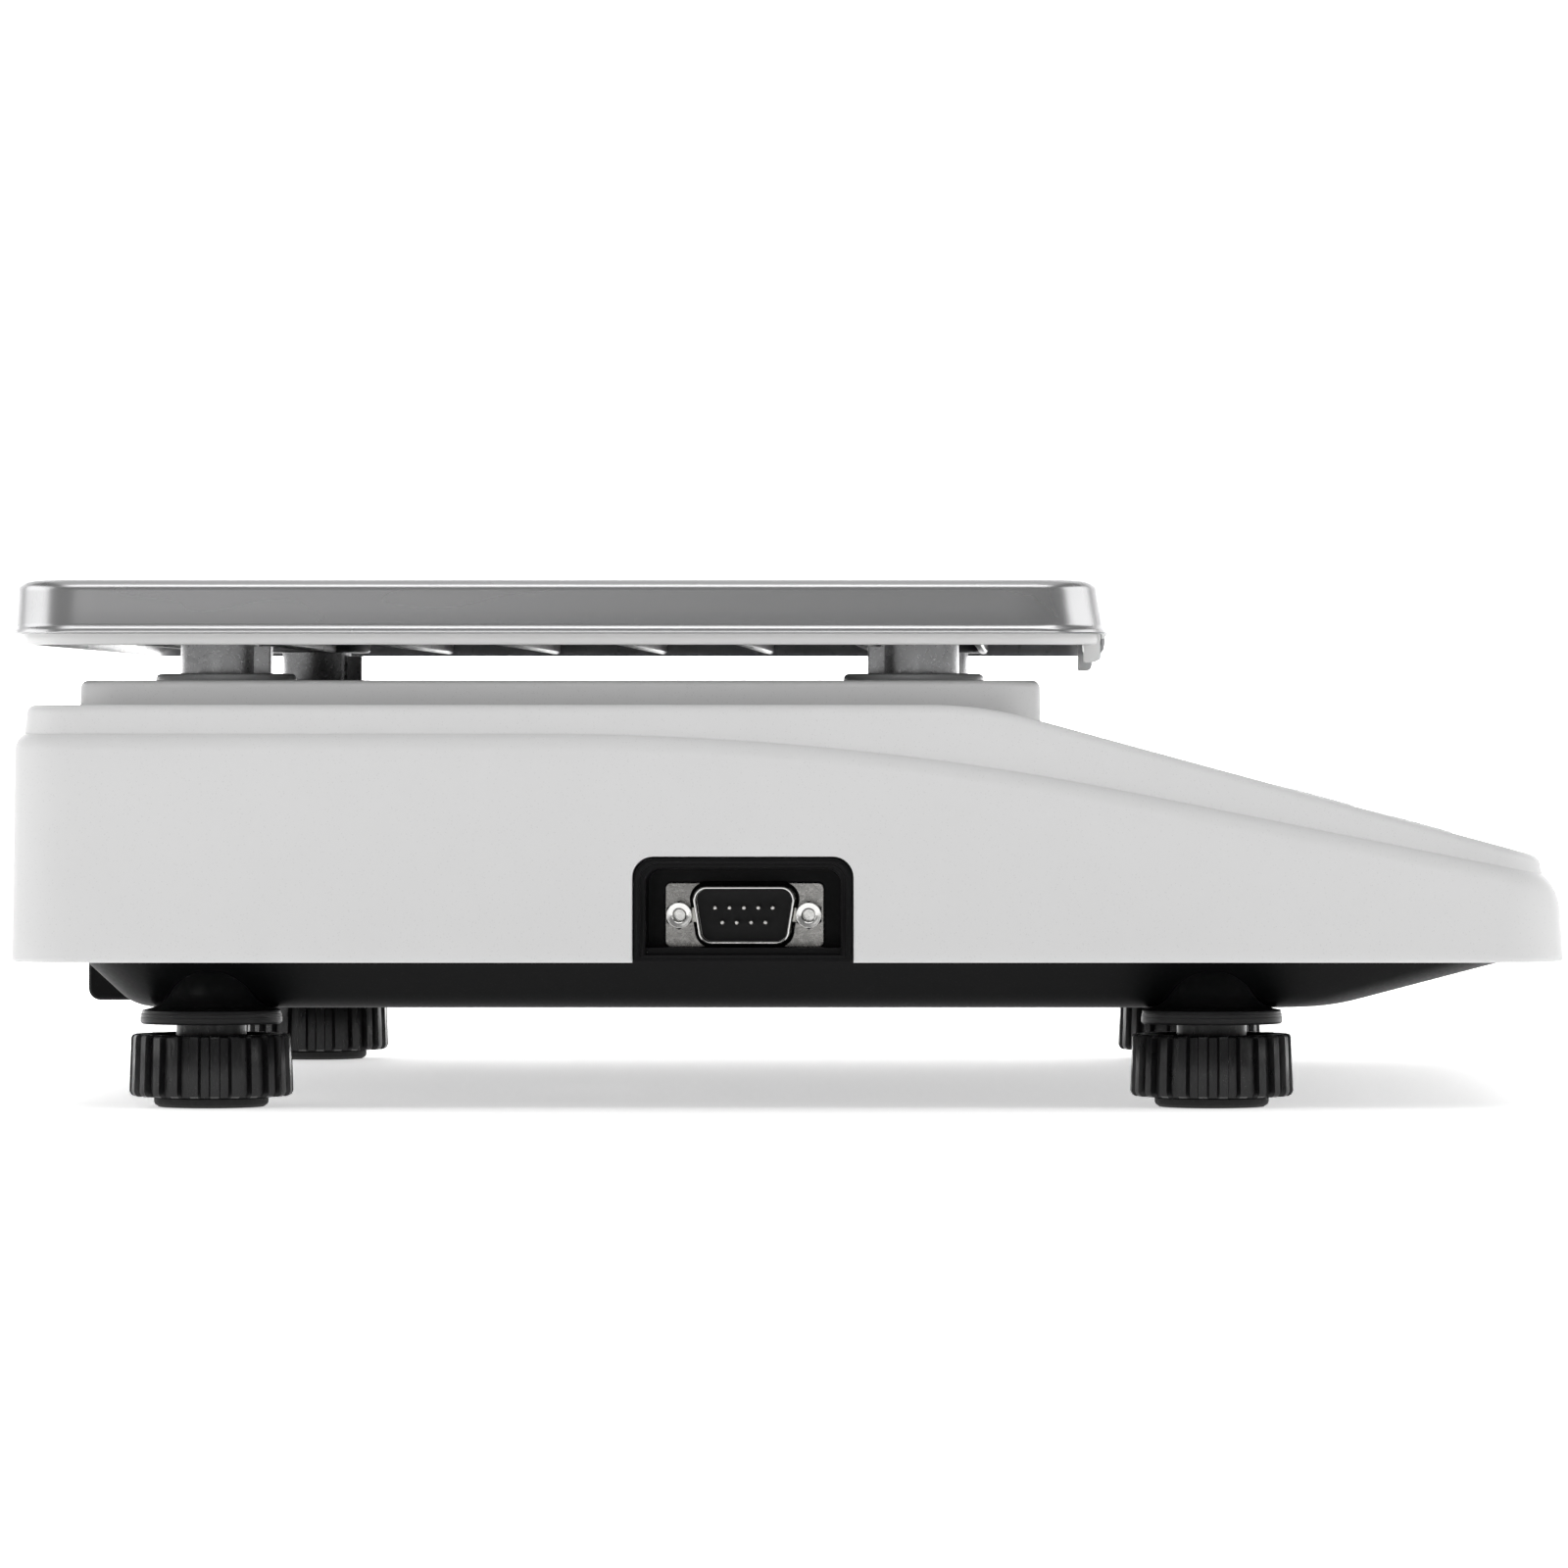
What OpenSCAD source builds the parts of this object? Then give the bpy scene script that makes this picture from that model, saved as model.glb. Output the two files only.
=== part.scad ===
// Counting scale with a stainless pan, a sloping front panel and four screw feet.
// X runs from side to side, -Y is the front, +Z is up. The table is at Z = 0.

/* [Housing] */
// Width of the housing from side to side
body_w = 320; // [300:1:400]
// Depth of the housing from front to back
body_d = 300; // [280:1:380]
// Height of the top housing from its lower edge to the deck
body_h = 49.6; // [47:0.2:62]
// Wall thickness of the top housing
wall = 3; // [2.4:0.1:3.6]
// Radius of the upright corners
corner_r = 12; // [8:1:18]
// Distance from the front face to where the deck begins
slope_run = 112.5; // [108:0.5:125]
// Angle of the sloping front
slope_angle = 15.2; // [13:0.1:16]
// How far the upper part stands in from the lower part at the sides and back
ledge_w = 2.4; // [1.5:0.1:3]
// How far the upper part stands in from the lower part at the front
ledge_front = 4; // [3:0.1:5]
// Depth of the shoulder below the deck
ledge_drop = 7.6; // [5:0.1:9]
// Height of the raised plinth on the deck
plinth_h = 4.8; // [3.6:0.1:7]
// How far the plinth stands in from the sides of the housing
plinth_inset = 20; // [16:0.5:24]

/* [Base] */
// Height of the underside of the base above the table
base_z = 19.1; // [18.6:0.1:24]
// Depth of the base tub below the top housing
tub_h = 9.6; // [8:0.1:11]
// Wall thickness of the base
base_wall = 2.5; // [2:0.1:3]
// How far the top of the tub stands in from the sides of the housing
tub_side = 20.6; // [18:0.1:24]
// How far the top of the tub stands in from the back of the housing
tub_back = 11.4; // [9:0.1:14]
// How far the top of the tub stands in from the front of the housing
tub_front = 7.6; // [6.5:0.1:11]
// Slope of the underside at the front of the base
tub_front_angle = 15; // [12:0.5:20]

/* [Feet] */
// Distance of the feet from the sides of the housing
foot_side = 28.5; // [27:0.1:32]
// Distance of the rear feet from the back of the housing
foot_back = 37.1; // [33:0.1:45]
// Distance of the front feet from the front of the housing
foot_front = 67.7; // [62:0.1:80]
// Diameter of the fluted knob of a foot
knob_d = 31.9; // [26:0.1:36]
// Height of the knob of a foot
knob_h = 12.1; // [9:0.1:12.3]
// Diameter of the rubber pad of a foot
pad_d = 22.3; // [18:0.1:25]
// Thickness of the rubber pad of a foot
pad_h = 1.9; // [1.2:0.1:2.4]
// Diameter of the threaded stud of a foot
stud_d = 8; // [6:0.1:8.4]

/* [Pan and posts] */
// How much narrower the pan is than the housing
pan_margin = 28; // [20:1:40]
// How far the front of the pan lies ahead of the start of the deck
pan_front = 24.7; // [19:0.1:28]
// How far the back of the pan overhangs the housing
pan_overhang = 1.6; // [0:0.1:6]
// Height of the pan from its lip to its top
pan_h = 10.6; // [8:0.1:16]
// Thickness of the pan's sheet
pan_t = 0.8; // [0.6:0.1:1.2]
// Gap between the pan's skirt and the tray inside it
pan_gap = 1.2; // [0.8:0.1:2]
// Height of the tray's lower edge above the plinth
tray_lift = 6.9; // [4:0.1:10]
// How far the tray shows below the lip of the pan
tray_show = 2.1; // [1:0.1:4]
// Distance of the posts from the sides of the housing
post_side = 38; // [36:0.1:42]
// Distance of the rear posts from the back of the housing
post_back = 39.2; // [36:0.1:46]
// Distance of the front posts behind the start of the deck
post_front = 13.5; // [12:0.1:20]
// Diameter of a support post
post_d = 15.2; // [12:0.1:17]
// Diameter of the collar around a post
collar_d = 27.4; // [25:0.1:30]

/* [Serial port] */
// Distance of the serial port from the back of the housing
port_back = 141.7; // [120:0.1:160]
// Width of the port's notch in the housing
port_w = 42.5; // [38:0.1:46]
// Height of the port's notch above the lower edge of the housing
port_h = 20.4; // [18:0.1:24]
// Depth of the recess in front of the connector
port_depth = 12; // [8:0.1:16]

/* [Rear bay] */
// Width of the rear bay
bay_w = 130; // [120:1:150]
// Inside height of the rear bay
bay_h = 36.2; // [30:0.1:38]
// How far the bay's edge stands in from the back of the housing
bay_back = 6.3; // [3.6:0.1:8]
// Depth of the bay
bay_depth = 8.2; // [6:0.1:12]

/* [Panel] */
// Width of the recess for the keypad panel
panel_w = 292; // [284:1:296]
// Length of the recess for the keypad panel, up the slope
panel_l = 80; // [78:0.5:82]
// Thickness of the keypad panel
panel_t = 1; // [0.6:0.1:1.2]
// Distance from key to key along a row
key_pitch = 34; // [30:0.5:35]
// Distance from row to row
key_row_pitch = 20; // [19:0.5:21]
// Width of a key
key_w = 27; // [22:0.5:28]
// Length of a key, up the slope
key_l = 13; // [11:0.5:14]
// Travel of a key
key_travel = 0.5; // [0.3:0.1:0.6]
// Gap around a key, a lens and a panel
key_gap = 0.3; // [0.2:0.05:0.5]

/* [Load cell] */
// Length of the load cell
cell_l = 130; // [120:1:150]
// Width of the load cell
cell_w = 30; // [25:1:36]
// Height of the load cell
cell_h = 22; // [20:1:26]
// Thickness of the spider's bars
spider_t = 5; // [4:0.5:6]

/* [Hidden] */
$fn = 48;

// Colours
housing_colour = [0.86, 0.87, 0.87];
base_colour = [0.1, 0.1, 0.11];
steel_colour = [0.72, 0.73, 0.75];
rubber_colour = [0.06, 0.06, 0.06];
board_colour = [0.1, 0.35, 0.2];
brass_colour = [0.78, 0.62, 0.32];

// Levels
skirt_z = base_z + tub_h;
deck_z = skirt_z + body_h;
plinth_z = deck_z + plinth_h;
tray_z = plinth_z + tray_lift;
lip_z = tray_z + tray_show;
pan_z = lip_z + pan_h;
rim_z = skirt_z + 0.3;
rim_t = 2.5;
floor_z = base_z + base_wall;

// Edges of the housing and of its upper part
side_x = body_w / 2;
front_y = -(body_d + pan_overhang) / 2;
back_y = front_y + body_d;
slope_y = front_y + slope_run;
upper_back_y = back_y - ledge_w;
upper_front_y = front_y + ledge_front;
deck_r = 75;
nose_r = 3;
back_r = 2;
plinth_front = 11.5;
plinth_r = 9;

// Shoulder line: level behind, then a long arc into a straight fall to the front
shoulder_z = deck_z - ledge_drop;
shoulder_angle = 11.3;
shoulder_r = 586;
shoulder_y = slope_y + 27.5;

// Rear posts and feet, front posts and feet
post_x = side_x - post_side;
post_ys = [back_y - post_back, slope_y + post_front];
foot_x = side_x - foot_side;
foot_ys = [back_y - foot_back, front_y + foot_front];
rib_out = 2.6;
rib_w = 6;
rib_clear = 0.2;
collar_gap = 1.3;
collar_t = 1.4;
// A post's column stands off its collar's centre, away from the rib
post_shift = rib_out / 2;
// Radius of the bore of a collar: it clears the post and its rib
collar_bore_r = (post_d + rib_out) / 2 + collar_gap;

// Foot
ring_z = base_z - 2.9;
ring_r = 13.8;
neck_r = 6.8;
neck_gap = 0.4;
neck_top = ring_z + 4.8;
pad_gap = 0.2;
knob_z = pad_h + pad_gap;
knob_top = knob_z + knob_h;
peg_r = 3.9;
peg_h = 4;
stud_top = base_z + 21;
nut_r = 5.5;
nut_z = base_z + 9;
nut_h = 10;
nut_gap = 0.08;
flutes = 24;
flute_depth = 0.8;

// Pan and tray
pan_w = body_w - pan_margin;
pan_y0 = slope_y - pan_front;
pan_y1 = back_y + pan_overhang;
lip_w = 0.5;
tray_inset = pan_t + pan_gap;
tray_w = pan_w - 2 * tray_inset;
tray_top = pan_z - pan_t;
tray_t = 2.5;
rib_pitch = 24;
rib_z = tray_z + 0.4;
socket_r = 12;
socket_z = tray_z + 0.6;
post_top = tray_top - 4.9;
post_gap = 0.5;

// Load cell and spider
cell_x = cell_l / 2;
cell_y = (post_ys[0] + post_ys[1]) / 2;
cell_z = floor_z + 11.4;
cell_top = cell_z + cell_h;
mount_l = 40;
mount_z = floor_z + 3.4;
spacer_h = 3;
spider_z = cell_top + spacer_h;
spider_top = spider_z + spider_t;
bar_w = 26;
cross_w = cell_w;
screw_r = 3;
screw_xs = [10, 28];
stop_r = 4;
stop_gap = 0.7;
stop_in = 19;

// Panel on the slope, with its two rows of keys
key_columns = 8;
panel_y = slope_y - slope_run / 2 - 1.5;
panel_v = -4;
display_v = 18;
lens_w = 236;
lens_l = 26;
lens_x = -15;
lcd_w = 74;
lcd_l = 19;
lcd_pitch = 80;
vial_x = 126;
vial_r = 6.8;
key_v = -9;
key_flange = 1.2;
key_top = 0.2;
board_w = -9.4;
board_t = 1.6;
board_w_x = 250;

// Serial port: a nine-pin D connector with the usual sizes
port_y = back_y - port_back;
port_z = skirt_z + 9;
port_back_x = -side_x + port_depth;
port_wall = 3;
port_frame = 2.4;
port_r = 4;
port_gap = 0.25;
flange_w = 30.81;
flange_h = 12.55;
flange_t = 0.8;
jack_pitch = 24.99;
pin_pitch = 2.77;
pin_rows = 2.84;
shell_depth = 5.9;

// Rear bay
bay_y1 = back_y - bay_back;
bay_y0 = bay_y1 - bay_depth;
bay_z = floor_z - 0.3;
inlet_x = -28;
switch_x = 30;
bay_mid_z = bay_z + bay_h / 2 + 0.6;
inlet_w = 27;
inlet_h = 20;
switch_w = 13;
switch_h = 19;
rocker_y = -1.5;
rocker_tilt = 10;
fit_gap = 0.2;

// Case screws
screw_ys = [back_y - 30, back_y - 100, front_y + 30];
case_x = side_x - 14;
case_boss_r = 4.5;
case_pad_h = 5;
case_screw_r = 1.75;
case_head_r = 3.4;
case_head_h = 2.4;

// Battery, transformer and main board
battery_size = [101, 70, 47];
battery_y = cell_y - cross_w / 2 - 5.4 - battery_size.y / 2;
transformer_y = cell_y + cross_w / 2 + 28.6;
board_y0 = cell_y + cross_w / 2 + 5.6;
board_size = [105, 40, 1.6];
board_z = floor_z + 8.4;

function slope_z(y) = deck_z - tan(slope_angle) * (slope_y - y);

// Points of an arc about c, from angle a0 to angle a1
function arc(c, r, a0, a1, n) =
    [for (i = [0:n]) let(a = a0 + (a1 - a0) * i / n) c + r * [cos(a), sin(a)]];

// Corner points of a rectangle with rounded corners
function rounded(x0, x1, y0, y1, r) = concat(
    arc([x1 - r, y1 - r], r, 0, 90, 6), arc([x0 + r, y1 - r], r, 90, 180, 6),
    arc([x0 + r, y0 + r], r, 180, 270, 6), arc([x1 - r, y0 + r], r, 270, 360, 6));

// An upright column over a rounded rectangle that is centred on X
module column(w, y0, y1, r, z0, z1) {
    translate([0, 0, z0]) linear_extrude(z1 - z0) polygon(rounded(-w / 2, w / 2, y0, y1, r));
}

// A box from one corner to the other
module block(lo, hi) {
    translate(lo) cube(hi - lo);
}

// Points given in Y and Z, drawn out along X from x0 to x1
module along_x(x0, x1, points) {
    translate([x0, 0, 0]) rotate([90, 0, 90]) linear_extrude(x1 - x0) polygon(points);
}

// Points given in X and Z, drawn out along Y from y0 to y1
module along_y(y0, y1, points) {
    translate([0, y1, 0]) rotate([90, 0, 0]) linear_extrude(y1 - y0) polygon(points);
}

// The frame of the slope: X along it, Y up it, Z out of it
module on_slope() {
    translate([0, panel_y, slope_z(panel_y)]) rotate([slope_angle, 0, 0]) children();
}

module plate(w, l, r, z0, z1) {
    column(w, -l / 2, l / 2, r, z0, z1);
}

module both_sides() {
    children();
    mirror([1, 0, 0]) children();
}

module rod(a, b, r) {
    d = b - a;
    translate(a) rotate([0, acos(d.z / norm(d)), atan2(d.y, d.x)]) cylinder(r = r, h = norm(d), $fn = 16);
}

// A round lead through a list of points
module lead(points, r) {
    for (i = [0:len(points) - 2]) rod(points[i], points[i + 1], r);
    for (i = [1:len(points) - 2]) translate(points[i]) sphere(r = r, $fn = 16);
}

// Side outline of the upper part, t inside the outer face
function upper_outline(t, z0) = concat(
    [[upper_back_y - t, z0]],
    t > 0 ? [[upper_back_y - t, deck_z - t]]
        : arc([upper_back_y - back_r, deck_z - back_r], back_r, 0, 90, 4),
    arc([slope_y + deck_r * tan(slope_angle / 2), deck_z - deck_r], deck_r - t, 90, 90 + slope_angle, 8),
    t > 0 ? [[upper_front_y + t, slope_z(upper_front_y + t) - t / cos(slope_angle)]]
        : arc([upper_front_y + nose_r, slope_z(upper_front_y + nose_r) - nose_r / cos(slope_angle)],
            nose_r, 90 + slope_angle, 180, 5),
    [[upper_front_y + t, z0]]);

// Side outline of the lower part, t inside the outer face
function lower_outline(t, z0) = concat(
    [[back_y - t, z0], [back_y - t, shoulder_z - t]],
    arc([shoulder_y + shoulder_r * tan(shoulder_angle / 2), shoulder_z - shoulder_r], shoulder_r - t,
        90, 90 + shoulder_angle, 10),
    [[front_y + t, shoulder_z - tan(shoulder_angle) * (shoulder_y - front_y - t)
        - t / cos(shoulder_angle)], [front_y + t, z0]]);

module lower_block(t, z0) {
    intersection() {
        column(body_w - 2 * t, front_y + t, back_y - t, corner_r - t, z0, deck_z);
        along_x(-side_x, side_x, lower_outline(t, z0));
    }
}

module upper_block(t, z0) {
    intersection() {
        column(body_w - 2 * (ledge_w + t), upper_front_y + t, upper_back_y - t, corner_r - ledge_w - t,
            z0, deck_z + 1);
        along_x(-side_x, side_x, upper_outline(t, z0));
    }
}

module plinth(t, z0) {
    column(body_w - 2 * (plinth_inset + t), slope_y - plinth_front + t, back_y - tub_back - t,
        plinth_r - t, z0, plinth_z - t);
}

// Outline of the serial port's notch or pocket, t inside the notch
function port_outline(t, z0) = let(y0 = port_y - port_w / 2 + t, y1 = port_y + port_w / 2 - t,
    z1 = skirt_z + port_h - t, r = port_r - t / 2) concat(
    [[y1, z0]], arc([y1 - r, z1 - r], r, 0, 90, 6), arc([y0 + r, z1 - r], r, 90, 180, 6), [[y0, z0]]);

// Centres of the keys in the frame of the slope
function key_place(i) = [(i % key_columns - (key_columns - 1) / 2) * key_pitch,
    key_v - floor(i / key_columns) * key_row_pitch];

module post_places() {
    for (i = [0:1]) both_sides() translate([post_x, post_ys[i], 0]) rotate([0, 0, i * 180]) children();
}

module top_housing() color(housing_colour) {
    difference() {
        union() {
            lower_block(0, skirt_z);
            upper_block(0, skirt_z);
            plinth(0, shoulder_z);
        }
        lower_block(wall, skirt_z - 1);
        upper_block(wall, skirt_z - 1);
        plinth(wall, shoulder_z - wall);
        // Notches for the serial port and the rear bay
        along_x(-side_x - 1, -side_x + wall + 1, port_outline(0, skirt_z - 1));
        block([-bay_w / 2 + base_wall, back_y - wall - ledge_w - 1, skirt_z - 1],
            [bay_w / 2 - base_wall, back_y + 1, bay_z + bay_h]);
        // Holes for the posts
        post_places() translate([0, 0, deck_z - wall - 1])
            cylinder(r = collar_bore_r + 0.8, h = plinth_h + wall + 2);
        on_slope() {
            translate([0, panel_v, 0]) plate(panel_w, panel_l, 4, -panel_t, 5);
            for (i = [0:2 * key_columns - 1]) translate(key_place(i))
                plate(key_w + 2 * key_gap, key_l + 2 * key_gap, 2.2, -wall - 1, 0);
            for (i = [-1:1]) translate([lens_x + i * lcd_pitch, display_v, 0])
                plate(lcd_w, lcd_l, 1, -wall - 1, 0);
            translate([vial_x, display_v, -wall - 1]) cylinder(r = vial_r + key_gap, h = wall + 1);
        }
    }
    // Screw bosses under the deck
    for (y = screw_ys) both_sides() difference() {
        intersection() {
            translate([case_x, y, rim_z + case_pad_h]) cylinder(r = case_boss_r, h = body_h);
            upper_block(wall, rim_z);
        }
        translate([case_x, y, rim_z]) cylinder(r = case_screw_r, h = case_pad_h + 10);
    }
}

// Side outline of the tub, t inside the outer face
function tub_outline(t) = let(drop = rim_z - base_z, y0 = front_y + tub_front, y1 = back_y - tub_back,
    a = tub_front_angle) [
    [y1 - t * tan(67.5) + t, rim_z + t], [y1 - drop - t * tan(22.5), base_z + t],
    [y0 + drop / tan(a) + t * tan(a / 2), base_z + t], [y0 + t / sin(a) - t / tan(a), rim_z + t]];

// Front outline of the tub, t inside the outer face
function tub_section(t) = let(drop = rim_z - base_z, x = side_x - tub_side) [
    [x - t * tan(22.5), rim_z + t], [x - drop - t * tan(22.5), base_z + t],
    [-x + drop + t * tan(22.5), base_z + t], [-x + t * tan(22.5), rim_z + t]];

module tub(t) {
    intersection() {
        along_x(-side_x, side_x, tub_outline(t));
        along_y(front_y, back_y, tub_section(t));
    }
}

// The trumpet-shaped boss that a foot screws into
module foot_boss() {
    rotate_extrude() polygon([[0, ring_z], [ring_r, ring_z], [ring_r, ring_z + 2.2], [12.4, base_z - 0.1],
        [10.4, base_z + 0.6], [9, base_z + 1.5], [7.8, base_z + 2.9], [7, base_z + 4.6],
        [6.8, base_z + 7], [8, nut_z], [8, nut_z + nut_h + 0.5], [0, nut_z + nut_h + 0.5]]);
}

module foot_bore() {
    translate([0, 0, ring_z - 1]) cylinder(r = neck_r + neck_gap, h = neck_top - ring_z + 2.6);
    translate([0, 0, ring_z]) cylinder(r = stud_d / 2 + 0.6, h = 40);
    translate([0, 0, nut_z]) cylinder(r = nut_r + nut_gap, h = nut_h + 1);
}

module foot_places() {
    for (y = foot_ys) both_sides() translate([foot_x, y, 0]) children();
}

module base_housing() color(base_colour) difference() {
    union() {
        difference() {
            union() {
                column(body_w - 2 * (wall + 0.4), front_y + wall + 0.4, back_y - wall - 0.4,
                    corner_r - wall - 0.4, rim_z, rim_z + rim_t);
                tub(0);
            }
            tub(base_wall);
            block([-side_x + tub_side + 4, front_y + tub_front + 6, rim_z],
                [side_x - tub_side - 4, back_y - tub_back - 4, rim_z + rim_t + 1]);
        }
        foot_places() foot_boss();
        case_places() cylinder(r = case_boss_r + 1, h = case_pad_h);
        // Pocket behind the serial port's notch
        along_x(-side_x + 0.8, port_back_x + port_wall, port_outline(port_gap, rim_z));
        // Rear bay
        along_x(-bay_w / 2, bay_w / 2, [[bay_y0 - base_wall, bay_z - base_wall],
            each arc([bay_y1 - 2.4, bay_z - base_wall + 2.4], 2.4, 270, 360, 5),
            [bay_y1, bay_z + bay_h + base_wall], [bay_y0 - base_wall, bay_z + bay_h + base_wall]]);
        // Pad under the load cell, pegs under the main board, posts of the overload stops
        block([-cell_x, cell_y - cell_w / 2, base_z], [-cell_x + mount_l, cell_y + cell_w / 2, mount_z]);
        for (x = [6, board_size.x - 6], y = [6, board_size.y - 6])
            translate([x, board_y0 + y, base_z]) cylinder(r = 3, h = board_z - base_z);
        for (y = post_ys) both_sides() translate([post_x, stop_y(y), base_z]) cylinder(r = 6.5, h = 12);
        // Rib around the battery
        difference() {
            block([-battery_size.x / 2 - 2.5, battery_y - battery_size.y / 2 - 2.5, base_z],
                [battery_size.x / 2 + 2.5, battery_y + battery_size.y / 2 + 2.5, floor_z + 8]);
            block([-battery_size.x / 2 - 0.4, battery_y - battery_size.y / 2 - 0.4, floor_z],
                [battery_size.x / 2 + 0.4, battery_y + battery_size.y / 2 + 0.4, floor_z + 9]);
        }
    }
    foot_places() foot_bore();
    // Recess in front of the serial connector, and the opening that its body passes through
    along_x(-side_x - 1, port_back_x, port_outline(port_frame + port_gap, rim_z + 1.2));
    block([port_back_x - 1, port_y - 10.4, port_z - 6],
        [port_back_x + port_wall + 1, port_y + 10.4, port_z + 6]);
    for (s = [-1, 1]) translate([port_back_x - 1, port_y + s * jack_pitch / 2, port_z])
        rotate([0, 90, 0]) cylinder(r = 1.6, h = port_wall + 2);
    // Inside of the rear bay, and the openings for the inlet and the switch
    block([-bay_w / 2 + base_wall, bay_y0, bay_z], [bay_w / 2 - base_wall, back_y, bay_z + bay_h]);
    block([inlet_x - inlet_w / 2 - fit_gap, bay_y0 - base_wall - 1, bay_mid_z - inlet_h / 2 - fit_gap],
        [inlet_x + inlet_w / 2 + fit_gap, bay_y0 + 1, bay_mid_z + inlet_h / 2 + fit_gap]);
    block([switch_x - switch_w / 2 - fit_gap, bay_y0 - base_wall - 1, bay_mid_z - switch_h / 2 - fit_gap],
        [switch_x + switch_w / 2 + fit_gap, bay_y0 + 1, bay_mid_z + switch_h / 2 + fit_gap]);
    // Screw holes: under the load cell, and through the rim
    for (x = screw_xs) translate([-cell_x + x, cell_y, base_z - 1]) {
        cylinder(r = screw_r + 0.2, h = 20);
        cylinder(r = 6, h = 1 + 3.6);
    }
    case_places() {
        translate([0, 0, -1]) cylinder(r = case_screw_r + 0.2, h = case_pad_h + 2);
        translate([0, 0, -1]) cylinder(r = case_head_r + fit_gap, h = case_head_h + 1.4);
    }
    for (y = post_ys) both_sides() translate([post_x, stop_y(y), floor_z])
        cylinder(r = stop_r + 0.05, h = 20);
}

// An overload stop stands a little inside its post
function stop_y(y) = y + (y > cell_y ? -stop_in : stop_in);

module weighing_pan() color(steel_colour) {
    difference() {
        union() {
            column(pan_w - 2 * lip_w, pan_y0 + lip_w, pan_y1 - lip_w, corner_r + 1, lip_z, pan_z);
            column(pan_w, pan_y0, pan_y1, corner_r + 1 + lip_w, lip_z, lip_z + 1);
        }
        column(pan_w - 2 * (lip_w + pan_t), pan_y0 + lip_w + pan_t, pan_y1 - lip_w - pan_t,
            corner_r + 1 - pan_t, lip_z - 1, pan_z - pan_t);
    }
    // Finger tab in the middle of the front lip
    block([-30, pan_y0 + 0.2, lip_z - 4.1], [30, pan_y0 + pan_t + 0.2, lip_z + 1]);
}

module pan_tray() color([0.9, 0.9, 0.89]) {
    y0 = pan_y0 + tray_inset;
    y1 = pan_y1 - tray_inset;
    difference() {
        union() {
            difference() {
                column(tray_w, y0, y1, corner_r, tray_z, tray_top);
                column(tray_w - 4, y0 + 2, y1 - 2, corner_r - 2, tray_z - 1, tray_top - tray_t);
            }
            for (y = [y0 + rib_pitch:rib_pitch:y1 - 12])
                block([-tray_w / 2 + 1, y - 0.9, rib_z], [tray_w / 2 - 1, y + 0.9, tray_top - 1]);
            post_places() translate([0, post_shift, socket_z])
                cylinder(r = socket_r, h = tray_top - socket_z - 1);
            // Corner tabs at the front
            both_sides() block([tray_w / 2 - 15, y0 + 0.3, tray_z - 3.4],
                [tray_w / 2 - 9, y0 + 2.7, tray_z + 4]);
        }
        post_places() translate([0, post_shift, tray_z - 5])
            cylinder(r = post_d / 2 + post_gap, h = post_top - tray_z + 5);
    }
}

module support_posts() color(steel_colour) post_places() {
    translate([0, post_shift, spider_top]) {
        cylinder(r = post_d / 2, h = post_top - spider_top);
        cylinder(r = post_d / 2 + 4, h = 3);
    }
    block([-rib_w / 2, post_shift - post_d / 2 - rib_out, spider_top],
        [rib_w / 2, post_shift, tray_z - rib_clear]);
}

module post_collars() color([0.7, 0.71, 0.72]) post_places() difference() {
    union() {
        translate([0, 0, plinth_z]) cylinder(r = collar_d / 2, h = collar_t);
        translate([0, 0, plinth_z - wall]) cylinder(r = collar_bore_r + 0.7, h = wall);
    }
    translate([0, 0, plinth_z - wall - 1]) cylinder(r = collar_bore_r, h = wall + collar_t + 2);
}

module spider() color([0.55, 0.56, 0.58]) {
    difference() {
        union() {
            both_sides() block([post_x - bar_w / 2, post_ys[1] - bar_w / 2, spider_z],
                [post_x + bar_w / 2, post_ys[0] + bar_w / 2, spider_top]);
            block([-post_x, cell_y - cross_w / 2, spider_z], [post_x, cell_y + cross_w / 2, spider_top]);
            block([cell_x - mount_l + 2, cell_y - cell_w / 2, cell_top],
                [cell_x, cell_y + cell_w / 2, spider_z]);
        }
        for (x = screw_xs) translate([cell_x - x, cell_y, cell_top - 1])
            cylinder(r = screw_r + 0.1, h = 20);
    }
}

module load_cell() color([0.8, 0.81, 0.83]) difference() {
    block([-cell_x, cell_y - cell_w / 2, cell_z], [cell_x, cell_y + cell_w / 2, cell_top]);
    translate([0, cell_y - cell_w / 2 - 1, cell_z + cell_h / 2]) rotate([-90, 0, 0]) {
        for (x = [-11, 11]) translate([x, 0, 0]) cylinder(r = cell_h / 2 - 3, h = cell_w + 2);
        translate([-11, -2, 0]) cube([22, 4, cell_w + 2]);
    }
    for (x = screw_xs) {
        translate([-cell_x + x, cell_y, cell_z - 1]) cylinder(r = screw_r + 0.05, h = cell_h - 3);
        translate([cell_x - x, cell_y, cell_z + 4]) cylinder(r = screw_r + 0.4, h = cell_h);
    }
}

module cell_mount() color(steel_colour) difference() {
    block([-cell_x, cell_y - cell_w / 2, mount_z], [-cell_x + mount_l, cell_y + cell_w / 2, cell_z]);
    for (x = screw_xs) translate([-cell_x + x, cell_y, mount_z - 1]) cylinder(r = screw_r + 0.2, h = 20);
}

module cell_screws() color(steel_colour) for (x = screw_xs) translate([-cell_x + x, cell_y, base_z]) {
    translate([0, 0, 0.3]) cylinder(r = 5.77, h = 3.3, $fn = 6);
    translate([0, 0, 3]) cylinder(r = screw_r, h = cell_top - base_z - 9);
}

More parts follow.
